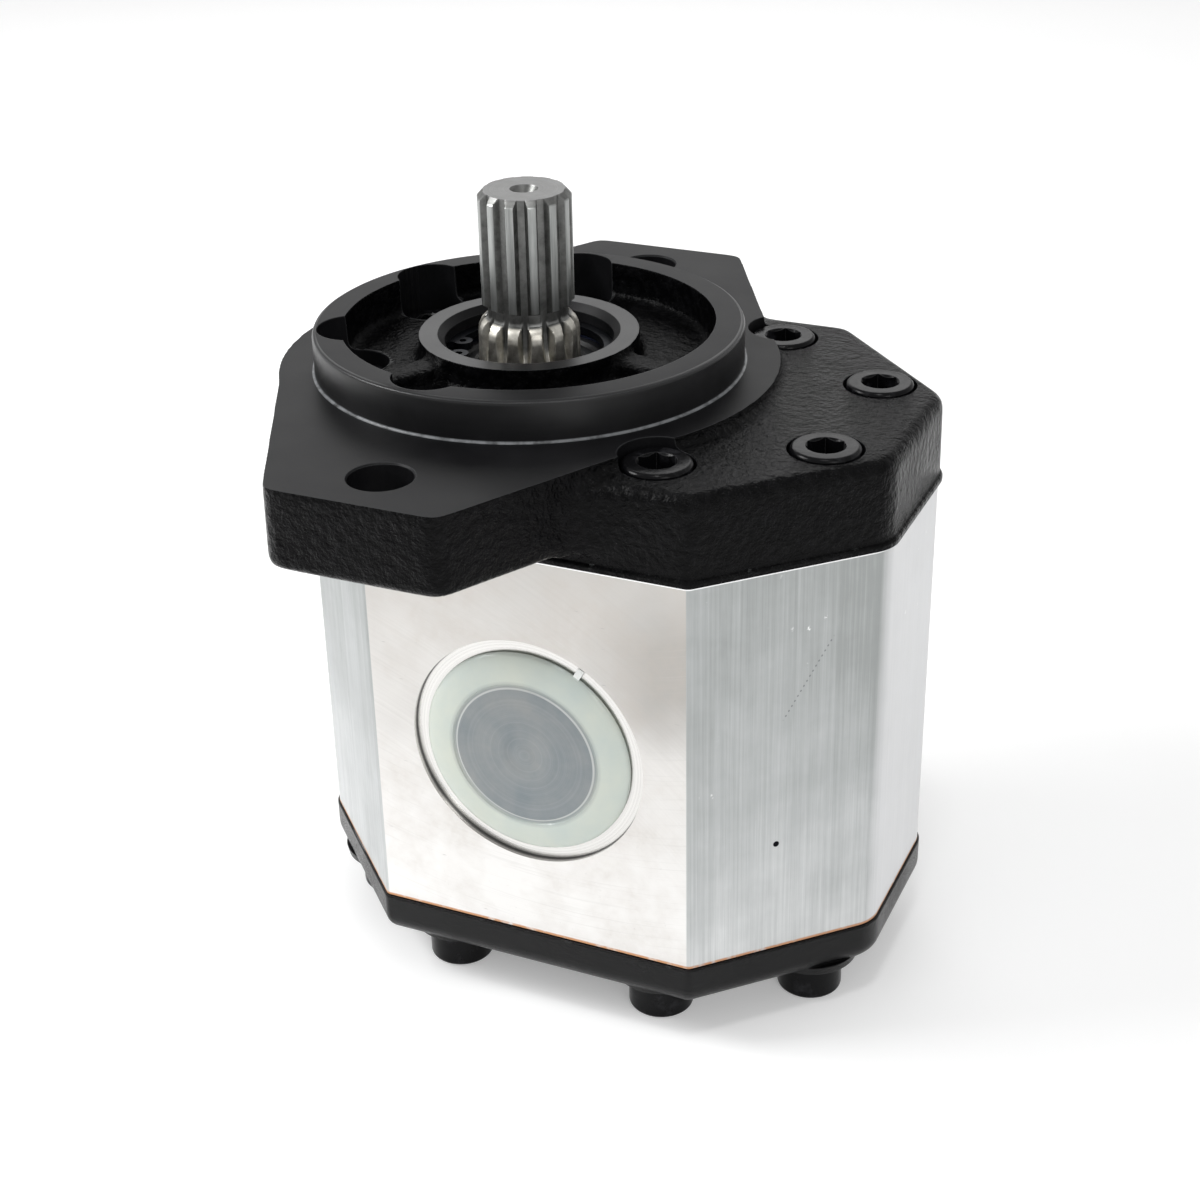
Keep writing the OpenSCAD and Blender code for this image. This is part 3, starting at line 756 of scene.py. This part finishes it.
# %% Placing helper
def place(piece, body, slot, nodes, materials):
    piece.data.materials.clear()
    for m in materials:
        piece.data.materials.append(m)
    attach(piece, body)
    if nodes:
        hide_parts(*nodes)
    faces = sum(len(p.vertices) - 2 for p in piece.data.polygons)
    print(f"{piece.name}: {faces} triangles on {body}")


def paint_faces(piece, rule):
    """Gives each face the material number that a rule picks from its centre, in mm, and normal."""
    for p in piece.data.polygons:
        p.material_index = rule(p.center / MM, p.normal)


# %% [markdown]
# ## The front cover
# The front cover is poured in sand and then machined. A casting has no sharp corners, so
# the raw shape is stacked from simple solids that overlap, turned into one skin by a
# voxel remesh, and relaxed until every edge and inner corner is rounded. The cutters come
# after that, in the order a shop would use: face the pad and pilot, bore the seal seat,
# drill and counterbore. Only the machined edges are then sharp.

# %% Raw casting of the front cover
PAD_R, EAR_SPAN, EAR_T = 59.3, 175.0, 19.0
HUB_R, RING_IN = 26.0, 43.5
PILOT_Z, HUB_Z = 9.7, 7.0
BOLT_Y = 73


def ear_outline(grow=0.0, steps=8):
    """The two ears with flanks that run into the round pad."""
    end_y, flank_x = EAR_SPAN / 2 + grow, 20.5 + grow
    reach = PAD_R + grow - 0.3
    lean = math.atan2(end_y, flank_x) - math.acos(reach / math.hypot(flank_x, end_y))
    x, y = reach * math.cos(lean), reach * math.sin(lean)
    pts = [(-x, -y), (-flank_x, -end_y), (flank_x, -end_y), (x, -y),
           (x, y), (flank_x, end_y), (-flank_x, end_y), (-x, y)]
    return rounded(pts, [20, 5, 5, 20, 20, 5, 5, 20], steps)


def joined(name, parts):
    """Several overlapping solids as one mesh."""
    bm = bmesh.new()
    for p in parts:
        bm.from_mesh(p.data)
        bpy.data.objects.remove(p)
    mesh = bpy.data.meshes.new(name)
    bm.to_mesh(mesh)
    bm.free()
    return linked(name, mesh)


def relaxed_skin(piece, voxel, rounds):
    """One closed skin round overlapping solids, with its edges relaxed."""
    skin = piece.modifiers.new("skin", "REMESH")
    skin.mode = "VOXEL"
    skin.voxel_size = voxel * MM
    ease = piece.modifiers.new("ease", "SMOOTH")
    ease.factor = 0.5
    ease.iterations = rounds
    return applied(piece)


def corner_web(name, sy):
    """Fills the inner corner between an ear's flank and the side wall with a hollow curve."""
    r, wall, cx = 13.0, HALF_W + 0.4, 45.7
    arc = [(cx + r * math.cos(math.radians(d)), sy * (wall + r + r * math.sin(math.radians(d))))
           for d in range(270, 207, -6)]
    pts = [(30.0, sy * (wall - 6)), (cx, sy * (wall - 6))] + arc
    pts = pts if sy > 0 else pts[::-1]
    low = [(30 + 0.8 * (x - 30), y - 0.2 * (y - sy * (wall - 6))) for x, y in pts]
    return loft(name, [(pts, -19.0), (pts, -5.4), (low, -3.1)])


def rim(base, grow, z, r, up=True, steps=6):
    """Rings that round an outline's edge by r, ending flat at z."""
    rows = []
    for k in range(steps + 1):
        a = math.pi / 2 * k / steps
        drop = r * (1 - math.sin(a))
        rows.append((base(grow - r * (1 - math.cos(a))), z - drop if up else z + drop))
    return rows if up else rows[::-1]


def hub_web(name, degrees):
    """A low rib from the hub to the pilot ring."""
    a = math.radians(degrees)
    out = Vector((math.cos(a), math.sin(a)))
    side = Vector((-out.y, out.x))
    pts = [tuple(out * u + side * v) for u, v in [(23, -4.2), (46, -4.2), (46, 4.2), (23, 4.2)]]
    return loft(name, [(pts, -6.0), (pts, 5.2)])


SLAB_TOP = -2.7
raw = joined("raw_casting", [
    loft("slab", [(housing(0.3), FRONT_Z - 1.5)]
         + rim(lambda g: housing(g, 3.0), 0.1, SLAB_TOP, 3.0)),
    loft("ears", rim(ear_outline, 0.0, -EAR_T, 2.0, up=False) + [(ear_outline(-0.2), 1.0)]),
    turned("pad", [(0, -EAR_T), (PAD_R, -EAR_T), (PAD_R, 1.0), (51.8, 1.0), (51.8, 11.2),
                   (RING_IN + 0.5, 11.2), (RING_IN, -4.0), (HUB_R + 0.5, -4.0), (HUB_R, 8.4),
                   (0, 8.4)], steps=144),
    corner_web("web_a", -1), corner_web("web_b", 1),
    hub_web("rib_a", -122), hub_web("rib_b", -9),
])
raw = relaxed_skin(raw, 0.95, 6)
print("raw casting faces:", len(raw.data.polygons))

# %% [markdown]
# ### The lip and the machining cuts
# A cover is cast a little larger than the body, so that a small mismatch doesn't show:
# this leaves a thin lip at the joint. The facing tool is one turned shape whose underside
# is the finished pad and pilot, so a single cut leaves both.

# %% Machining of the front cover
def stadium(r, steps=40):
    """The outline of two circles on the gear axes and the straight sides between them."""
    return [(x + r * math.cos(a), r * math.sin(a)) for x, start in [(AXIS_D, -0.5), (0, 0.5)]
            for a in [math.pi * (k / steps + start) for k in range(steps + 1)]]


def seal_groove(z0, z1):
    ring = loft("groove", [(stadium(32.2), z0), (stadium(32.2), z1)])
    return machine(ring, [loft("island", [(stadium(29.2), z0 - 1), (stadium(29.2), z1 + 1)])])


def screw_seat(name, head_r, at):
    """A clearance hole with the flat recess that takes a screw's head."""
    return turned(name, [(0, FRONT_Z - 1), (5.5, FRONT_Z - 1), (5.5, SEAT_Z), (head_r, SEAT_Z),
                         (head_r, 30), (0, 30)], at, steps=64)


def dowel_holes(z0, z1):
    return [drill("dowel_hole", 4.0, z0, z1, at=(MID_X, s * 42), steps=32) for s in (-1, 1)]


lip = loft("lip", [(cover(g), FRONT_Z + dz)
                   for g, dz in [(0.9, -1.0), (0.9, 1.0), (0.6, 1.5), (-0.6, 1.9)]])
machine(raw, [lip], "UNION")
machine(raw, [
    turned("facing", [(PILOT_R, 0.5), (50.95, 0.15), (51.3, 0), (200, 0), (200, 30), (0, 30),
                      (0, PILOT_Z), (49.8, PILOT_Z), (50.5, 9.3), (PILOT_R, 8.7)], steps=180),
    turned("hub_face", [(0, HUB_Z), (28.5, HUB_Z), (28.5, 12.0), (0, 12.0)]),
    drill("joint_face", 200, -60, FRONT_Z),
    turned("seal_bore", [(0, FRONT_Z - 1), (14.5, FRONT_Z - 1), (14.5, -9), (20, -9), (20, 0.9),
                         (21.2, 0.9), (21.2, 2.85), (20, 2.85), (20, 5.4), (21.6, 7.0), (21.6, 16),
                         (0, 16)], steps=128),
    seal_groove(FRONT_Z - 1, FRONT_Z + 2.0),
])
machine(raw, [turned("bolt_hole", [(0, -30), (7.15, -30), (7.15, -0.35), (7.5, 0), (7.5, 9), (0, 9)],
                     at=(0, BOLT_Y * s), steps=64) for s in (-1, 1)])
machine(raw, [screw_seat("counterbore", 8.6, p) for p in OUTER])
machine(raw, [screw_seat("scallop", 8.3, p) for p in INNER])
machine(raw, dowel_holes(FRONT_Z - 1, FRONT_Z + 8.5))
front_cover = raw
front_cover.name = "front_cover_casting"
crisp(front_cover, 30)


AS_CAST, TOOLED, IN_HOLLOW, ON_PILOT = range(4)


def front_cover_finish(c, n):
    """As cast outside or in the hollow, tooled flat, or turned on the pilot and hub."""
    r = math.hypot(c.x, c.y)
    near = min(math.hypot(c.x - x, c.y - y) for x, y in OUTER + INNER)
    flat = n.z > 0.99 and min(abs(c.z), abs(c.z - PILOT_Z), abs(c.z - HUB_Z)) < 0.03
    bored = near < 8.63 or r < 21.7 or math.hypot(c.x, abs(c.y) - BOLT_Y) < 7.6
    if 49.4 < r < 51.4 and 0.02 < c.z < 9.6 or n.z > 0.99 and abs(c.z - HUB_Z) < 0.03:
        return ON_PILOT
    if flat or bored or c.z < FRONT_Z + 0.02:
        return TOOLED
    return IN_HOLLOW if 25.5 < r < 44.5 and c.z > -8 else AS_CAST


place(front_cover, "housing", "front_cover", ["front_cover"], [CAST, MACHINED, HOLLOW_SHADE, WALL])
paint_faces(front_cover, front_cover_finish)
numbers = [p.material_index for p in front_cover.data.polygons]
print("machined faces:", numbers.count(TOOLED) + numbers.count(ON_PILOT))

# %% [markdown]
# ## The rear cover
# The rear cover is a plain plate with a generously rounded outer edge and eight low pads
# under the screw heads. A loft does the rounding exactly, so it needs no remesh.

# %% Rear cover
COVER_LOW = REAR_Z - 11.0
rear_cover = loft("rear_cover_plate",
                  rim(cover, 0.5, COVER_LOW, 5.0, up=False, steps=8)
                  + [(cover(0.5), REAR_Z - 0.25), (cover(0.25), REAR_Z)])
pads = [turned("pad", [(0, COVER_LOW - 1.0), (11.0, COVER_LOW - 1.0), (11.5, COVER_LOW - 0.6),
                       (11.9, COVER_LOW + 1.5), (0, COVER_LOW + 1.5)], at=p, steps=64)
        for p in OUTER + INNER]
machine(rear_cover, pads, "UNION")
machine(rear_cover, [seal_groove(REAR_Z - 2.0, REAR_Z + 1)])
machine(rear_cover, [drill("hole", 5.5, COVER_LOW - 3, REAR_Z + 1, at=p) for p in OUTER + INNER])
machine(rear_cover, dowel_holes(REAR_Z - 8.5, REAR_Z + 1))
crisp(rear_cover, 28)


def rear_cover_finish(c, n):
    """Tooled on the joint face and on the pads, as cast elsewhere."""
    tooled = abs(n.z) > 0.99 and (c.z < COVER_LOW - 0.9 or c.z > REAR_Z - 0.1)
    return TOOLED if tooled else AS_CAST


place(rear_cover, "housing", "rear_cover", ["rear_cover"], [PLATE, MACHINED])
paint_faces(rear_cover, rear_cover_finish)

# %% [markdown]
# ## The gear body
# The body is a length of extruded bar. Its ends are faced and its sharp edges broken, and
# the two gear bores run right through it. Each port is a turned spot face, a threaded
# bore and a narrower passage into the gear chamber.

# %% Gear body
def port_tool(r, face_r, side):
    """The one shape that all the cutters of a port sweep out together."""
    floor_z = HALF_W - SPOT_DEPTH
    tool = turned("port", [(0, 8), (r - 5.5, 8), (r - 5.5, 31), (r, 31), (r, floor_z - 1.2),
                           (r + 1.2, floor_z), (face_r, floor_z), (face_r, floor_z + 5),
                           (0, floor_z + 5)], steps=128)
    return turn_to_port(tool, side)


gear_body = loft("gear_body_bar", [(housing(-0.35), REAR_Z), (housing(0), REAR_Z + 0.35),
                                   (housing(0), FRONT_Z - 0.35), (housing(-0.35), FRONT_Z)])
machine(gear_body, [drill("bore", 25.75, REAR_Z - 1, FRONT_Z + 1, at=(x, 0), steps=144)
                    for x in (0, AXIS_D)])
machine(gear_body, [port_tool(INLET_R, INLET_FACE, -1), port_tool(OUTLET_R, OUTLET_FACE, 1)])
machine(gear_body, [drill("tapped", 5.0, z0, z0 + 30, at=p, steps=32) for p in OUTER + INNER
                    for z0 in (FRONT_Z - 26, REAR_Z - 4)])
machine(gear_body, dowel_holes(FRONT_Z - 8.5, FRONT_Z + 1) + dowel_holes(REAR_Z - 1, REAR_Z + 8.5))
crisp(gear_body, 28)


ON_SIDE, ON_PORT_SIDE, IN_PORT = range(3)


def body_finish(c, n):
    """Extruded on the plain sides, milled on the port sides and turned inside the ports."""
    from_port = math.hypot(c.x - MID_X, c.z - PORT_Z)
    face_r = INLET_FACE if c.y < 0 else OUTLET_FACE
    if from_port < face_r + 0.05 and 8 < abs(c.y) < HALF_W - 0.01:
        return IN_PORT
    return ON_PORT_SIDE if abs(n.y) > 0.99 and abs(c.y) > HALF_W - 0.05 else ON_SIDE


place(gear_body, "housing", "gear_body", ["gear_body"], [EXTRUDED, MILLED, TURNED])
paint_faces(gear_body, body_finish)

# %% [markdown]
# ## The drive shaft
# The shaft is one turned and hobbed bar, so it is one surface: at each angle and height
# it has one radius. The hob is a wheel, so where it leaves the bar each spline gap ends in
# a long scoop that climbs the collar. A height field gives this from two short rules,
# where a boolean would leave hundreds of slivers. Only the gear is joined on.

# %% Splined end as a height field
TEETH, SPLINES = 12, 13
HOB_R, HOB_AXIS = 32.0, 41.35


def lathe_radius(z):
    """The turned outline of the splined end, before hobbing."""
    shape = [(-2, 12), (7.5, 12), (8.8, 11.75), (10, 11.2), (10.8, 10.4), (11.3, 9.5), (13.9, 9.4),
             (14.6, LANDS), (39.6, LANDS), (SHAFT_END, 9.5)]
    for (z0, r0), (z1, r1) in zip(shape, shape[1:]):
        if z <= z1:
            return r0 + (r1 - r0) * (z - z0) / (z1 - z0)
    return 9.5


def hobbed_radius(turns, z):
    """The radius that the hob leaves at an angle, given in turns, and a height."""
    from_gap = 0.5 - abs((turns * SPLINES + 0.5) % 1 - 0.5)
    if z >= COLLAR_Z:
        return min(lathe_radius(z), GAPS + max(0.0, from_gap - 0.19) * 11.4)
    wheel = HOB_AXIS - math.sqrt(HOB_R ** 2 - (COLLAR_Z - z) ** 2)
    return min(lathe_radius(z), wheel + max(0.0, from_gap - 0.10) * 12.0)


AROUND = SPLINES * 28
heights = [-2 + 0.4 * k for k in range(35)] + [12.0, 12.4, 13.0, 13.6, 13.9, 14.1, 14.35, 14.6, 15.0]
heights += [16 + 3 * k for k in range(8)] + [39.0, 39.6, 39.9, 40.2, 40.5, 40.8, 41.0, 41.2]
rows = [([r] * AROUND, z) for r, z in [
    (0, -120.1), (11.6, -120.1), (13, -118.9), (13, -99), (13, -96), (13, -52), (13, -49),
    (13, -28.0), (12, -27.2), (12, -12)]]
rows += [([hobbed_radius(k / AROUND, z) for k in range(AROUND)], z) for z in heights]
rows += [([r] * AROUND, z) for r, z in [
    (9.1, SHAFT_END), (3.3, SHAFT_END), (1.3, 38.0), (1.3, 34.6), (0, 34.0)]]
drive = wrapped("drive_shaft", rows)
print("shaft surface points:", len(drive.data.vertices))


# %% Gear teeth and their union with the shaft
MODULE, BACKLASH, TIP_R = 3.65, 0.36, 25.4
PRESSURE = math.radians(25)
PITCH_R = MODULE * TEETH / 2
BASE_R = PITCH_R * math.cos(PRESSURE)


def involute(a):
    return math.tan(a) - a


def half_tooth(r):
    """The angle from a tooth's middle to its flank at a radius."""
    half = math.pi / 2 / TEETH - BACKLASH / 2 / PITCH_R
    return half + involute(PRESSURE) - involute(math.acos(min(1.0, BASE_R / r)))


def gear_outline(grow=0.0):
    """Involute teeth with a rounded root."""
    side = [(17.5, half_tooth(BASE_R) + math.radians(2)),
            (18.5, half_tooth(BASE_R) + math.radians(0.4))]
    side += [(r, half_tooth(r)) for r in [BASE_R + (TIP_R - BASE_R) * k / 6 for k in range(7)]]
    pts = []
    for t in range(TEETH):
        a = 2 * math.pi * t / TEETH
        tooth = [(r, a - w) for r, w in side] + [(r, a + w) for r, w in side[::-1]]
        pts += [((r + grow) * math.cos(b), (r + grow) * math.sin(b)) for r, b in tooth]
    return pts


gear_low, gear_high = PORT_Z - 22.0, PORT_Z + 22.0
teeth = loft("teeth", [(gear_outline(-0.3), gear_low), (gear_outline(), gear_low + 0.3),
                       (gear_outline(), gear_high - 0.3), (gear_outline(-0.3), gear_high)])
machine(drive, [teeth], "UNION")
crisp(drive, 24)
place(drive, "drive_gear", "drive_gear_shaft", ["drive_gear_shaft"], [STEEL])

# %% [markdown]
# ## The port plugs
# Each plug is an injection-moulded cap: a domed flange that lies on the spot face, a flat
# disc that closes it, and a hollow cup that grips the port. The disc looks darker because
# the port is behind it. The mould's turned insert leaves fine rings on the disc, and the
# inlet plug has a small pull tab.

# %% Port plugs
def plug(name, r, side, tab):
    edge = r + 5.0
    disc = [(0.0, 2.25), (1.6, 2.25), (2.2, 2.1), (4.6, 2.1), (5.0, 2.25)]
    disc += [(k, 2.30 if i % 2 else 2.25) for i, k in
             enumerate([6.0, 6.5, 7.6, 8.1, 9.4, 9.9, 11.3, 11.8, 13.4, 13.9]) if k < r - 4.5]
    outer = [(r - 4.0, 2.3), (r - 3.45, 2.3), (r - 3.2, 2.1), (r - 2.45, 2.1), (r - 2.2, 2.35),
             (r - 1.0, 2.3), (r + 0.5, 2.15), (r + 1.6, 1.97), (r + 2.6, 1.75), (r + 3.4, 1.55),
             (edge - 0.9, 1.3), (edge - 0.5, 1.08), (edge - 0.2, 0.8), (edge, 0.4), (edge, 0.15),
             (edge - 0.2, 0.0), (r - 0.4, 0.0), (r - 0.5, -8.8), (r - 1.1, -9.8), (r - 1.6, -9.8),
             (r - 1.6, 0.9), (0.0, 0.9)]
    base = HALF_W - SPOT_DEPTH + 0.3
    piece = turned(name, [(a, z + base) for a, z in (disc + outer)[::-1]], steps=160)
    if tab:
        a = math.radians(60)
        out = Vector((math.cos(a), math.sin(a)))
        across = Vector((-out.y, out.x))
        flat = rounded([(edge - 0.6, -0.8), (edge + 2.8, -0.8), (edge + 2.8, 0.8), (edge - 0.6, 0.8)],
                       [0.2, 0.5, 0.5, 0.2], 5)
        shape = [tuple(out * u + across * v) for u, v in flat]
        machine(piece, [loft("tab", [(shape, base + 0.1), (shape, base + 0.8)])], "UNION")
    turn_to_port(piece, side)
    return crisp(piece, 40)


for port, r, side, tab in [("inlet", INLET_R, -1, True), ("outlet", OUTLET_R, 1, False)]:
    cap = plug(port + "_plug_cap", r, side, tab)
    place(cap, port + "_plug", "plug", [port + "_port_plug"], [PLASTIC])

# %% [markdown]
# ## The socket head screws
# Sixteen equal screws differ only in place, direction and how far each was turned, which
# is what Geometry Nodes do well. The tree takes one turned blank, cuts the hexagon socket
# with named sizes, and sets a copy on every point with a seeded turn.

# %% Screw tree
def screw_blank():
    """A cap screw with its seat at z = 0 and its head above, without the socket."""
    return turned("blank", [(0, -35), (3.95, -35), (4.95, -34), (4.95, 0), (7.65, 0), (7.9, 0.25),
                            (7.9, 9.0), (7.75, 9.5), (7.35, 9.88), (6.9, 10), (0, 10)], steps=72)


def screw_tree():
    tree = bpy.data.node_groups.new("screws_on_points", "GeometryNodeTree")
    tree.interface.new_socket("Points", in_out="INPUT", socket_type="NodeSocketGeometry")
    for name, kind in [("Blank", "Object"), ("Material", "Material"), ("Across flats", "Float"),
                       ("Depth", "Float"), ("Head height", "Float"), ("Tip over", "Float"),
                       ("Seed", "Int")]:
        tree.interface.new_socket(name, in_out="INPUT", socket_type="NodeSocket" + kind)
    tree.interface.new_socket("Screws", in_out="OUTPUT", socket_type="NodeSocketGeometry")

    def node(kind, settings, inputs, output=0):
        made = tree.nodes.new(kind)
        for key, setting in settings.items():
            setattr(made, key, setting)
        for key, given in inputs.items():
            if isinstance(given, bpy.types.NodeSocket):
                tree.links.new(given, made.inputs[key])
            else:
                made.inputs[key].default_value = given
        return made.outputs[output]

    def maths(operation, a, b):
        return node("ShaderNodeMath", {"operation": operation}, {0: a, 1: b})

    given = tree.nodes.new("NodeGroupInput").outputs
    blank = node("GeometryNodeObjectInfo", {}, {"Object": given["Blank"]}, "Geometry")
    reach = maths("DIVIDE", given["Across flats"], math.sqrt(3))
    deep = maths("MULTIPLY", given["Depth"], 2)
    hexagon = node("GeometryNodeMeshCylinder", {},
                   {"Vertices": 6, "Radius": reach, "Depth": deep}, "Mesh")
    flare = node("GeometryNodeMeshCone", {}, {"Vertices": 48, "Radius Top": 5.4 * MM,
                                              "Radius Bottom": 3.9 * MM, "Depth": 1.5 * MM}, "Mesh")
    flare_z = maths("SUBTRACT", given["Head height"], 0.6 * MM)
    cut = blank
    for tool, z in [(hexagon, given["Head height"]), (flare, flare_z)]:
        lift = node("ShaderNodeCombineXYZ", {}, {2: z})
        tool = node("GeometryNodeTransform", {}, {"Geometry": tool, "Translation": lift})
        cut = node("GeometryNodeMeshBoolean", {"operation": "DIFFERENCE", "solver": "MANIFOLD"},
                   {"Mesh 1": cut, "Mesh 2": tool})
    spin = node("FunctionNodeRandomValue", {"data_type": "FLOAT"},
                {"Min": 0.0, "Max": math.pi / 3, "Seed": given["Seed"]}, "Value")
    angles = node("ShaderNodeCombineXYZ", {}, {0: given["Tip over"], 2: spin})
    turn = node("FunctionNodeEulerToRotation", {}, {0: angles})
    copies = node("GeometryNodeInstanceOnPoints", {}, {"Points": given["Points"], "Instance": cut,
                                                       "Rotation": turn})
    real = node("GeometryNodeRealizeInstances", {}, {"Geometry": copies})
    painted = node("GeometryNodeSetMaterial", {}, {"Geometry": real, "Material": given["Material"]})
    tree.links.new(painted, tree.nodes.new("NodeGroupOutput").inputs[0])
    return tree


SCREWS = screw_tree()


def screws(name, points, z, tip_over, seed):
    """Screws with their seats at z on the given (x, y) points, as one plain mesh."""
    blank = screw_blank()
    piece = solid(name, [(x, y, z) for x, y in points], [])
    set_in = piece.modifiers.new("screws", "NODES")
    set_in.node_group = SCREWS
    wanted = {"Blank": blank, "Material": OXIDE, "Tip over": tip_over, "Seed": seed,
              "Across flats": 8 * MM, "Depth": 5 * MM, "Head height": 10 * MM}
    for item in SCREWS.interface.items_tree:
        if item.in_out == "INPUT" and item.name in wanted:
            set_in[item.identifier] = wanted[item.name]
    applied(piece)
    bpy.data.objects.remove(blank)
    return crisp(piece, 30)


for name, node_name, points, z, tip, seed in [
        ("outer_cap_screws", "front_screws_outer", OUTER, SEAT_Z, 0.0, 3),
        ("inner_cap_screws", "front_screws_inner", INNER, SEAT_Z, 0.0, 8),
        ("rear_cap_screws", "rear_screws", OUTER + INNER, COVER_LOW - 1.0, math.pi, 5)]:
    place(screws(name, points, z, tip, seed), "housing", "screw", [node_name], [OXIDE])

# %% [markdown]
# ## Finishes for the pieces inside
# The remaining pieces keep the CAD model's own shapes: their form is plain and exact, and
# most are seen only when the pump is taken apart. Each one gets its own finish.

# %% Finishes of the CAD's own pieces
INSIDE = [
    (GROUND, "driven_gear_shaft front_dowels rear_dowels"),
    (BLOCK, "front_bearing_block rear_bearing_block"),
    (BRONZE, "front_drive_bush front_driven_bush rear_drive_bush rear_driven_bush"),
    (CASE, "shaft_seal_case"),
    (PRESSED, "seal_garter_spring"),
    (RING, "seal_retaining_ring"),
    (RUBBER, "shaft_seal_lip front_body_seal rear_body_seal"),
    (RUBBER, "front_pressure_seal rear_pressure_seal"),
    (NYLON, "front_seal_backup rear_seal_backup")]
for finish, names in INSIDE:
    for name in names.split():
        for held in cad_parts[name].material_slots:
            held.material = finish
    print(finish.name, "on", names)

# %% [markdown]
# ## Last measurement
# The finished model's box is measured, and how far each of its sides lies from the CAD
# model's box is printed, in millimetres.

# %% Boxes
new_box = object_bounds()
for word, before, after in zip(("low", "high"), cad_box, new_box):
    print(word, [round((b - a) / MM, 2) for a, b in zip(before, after)], "mm from the CAD box")
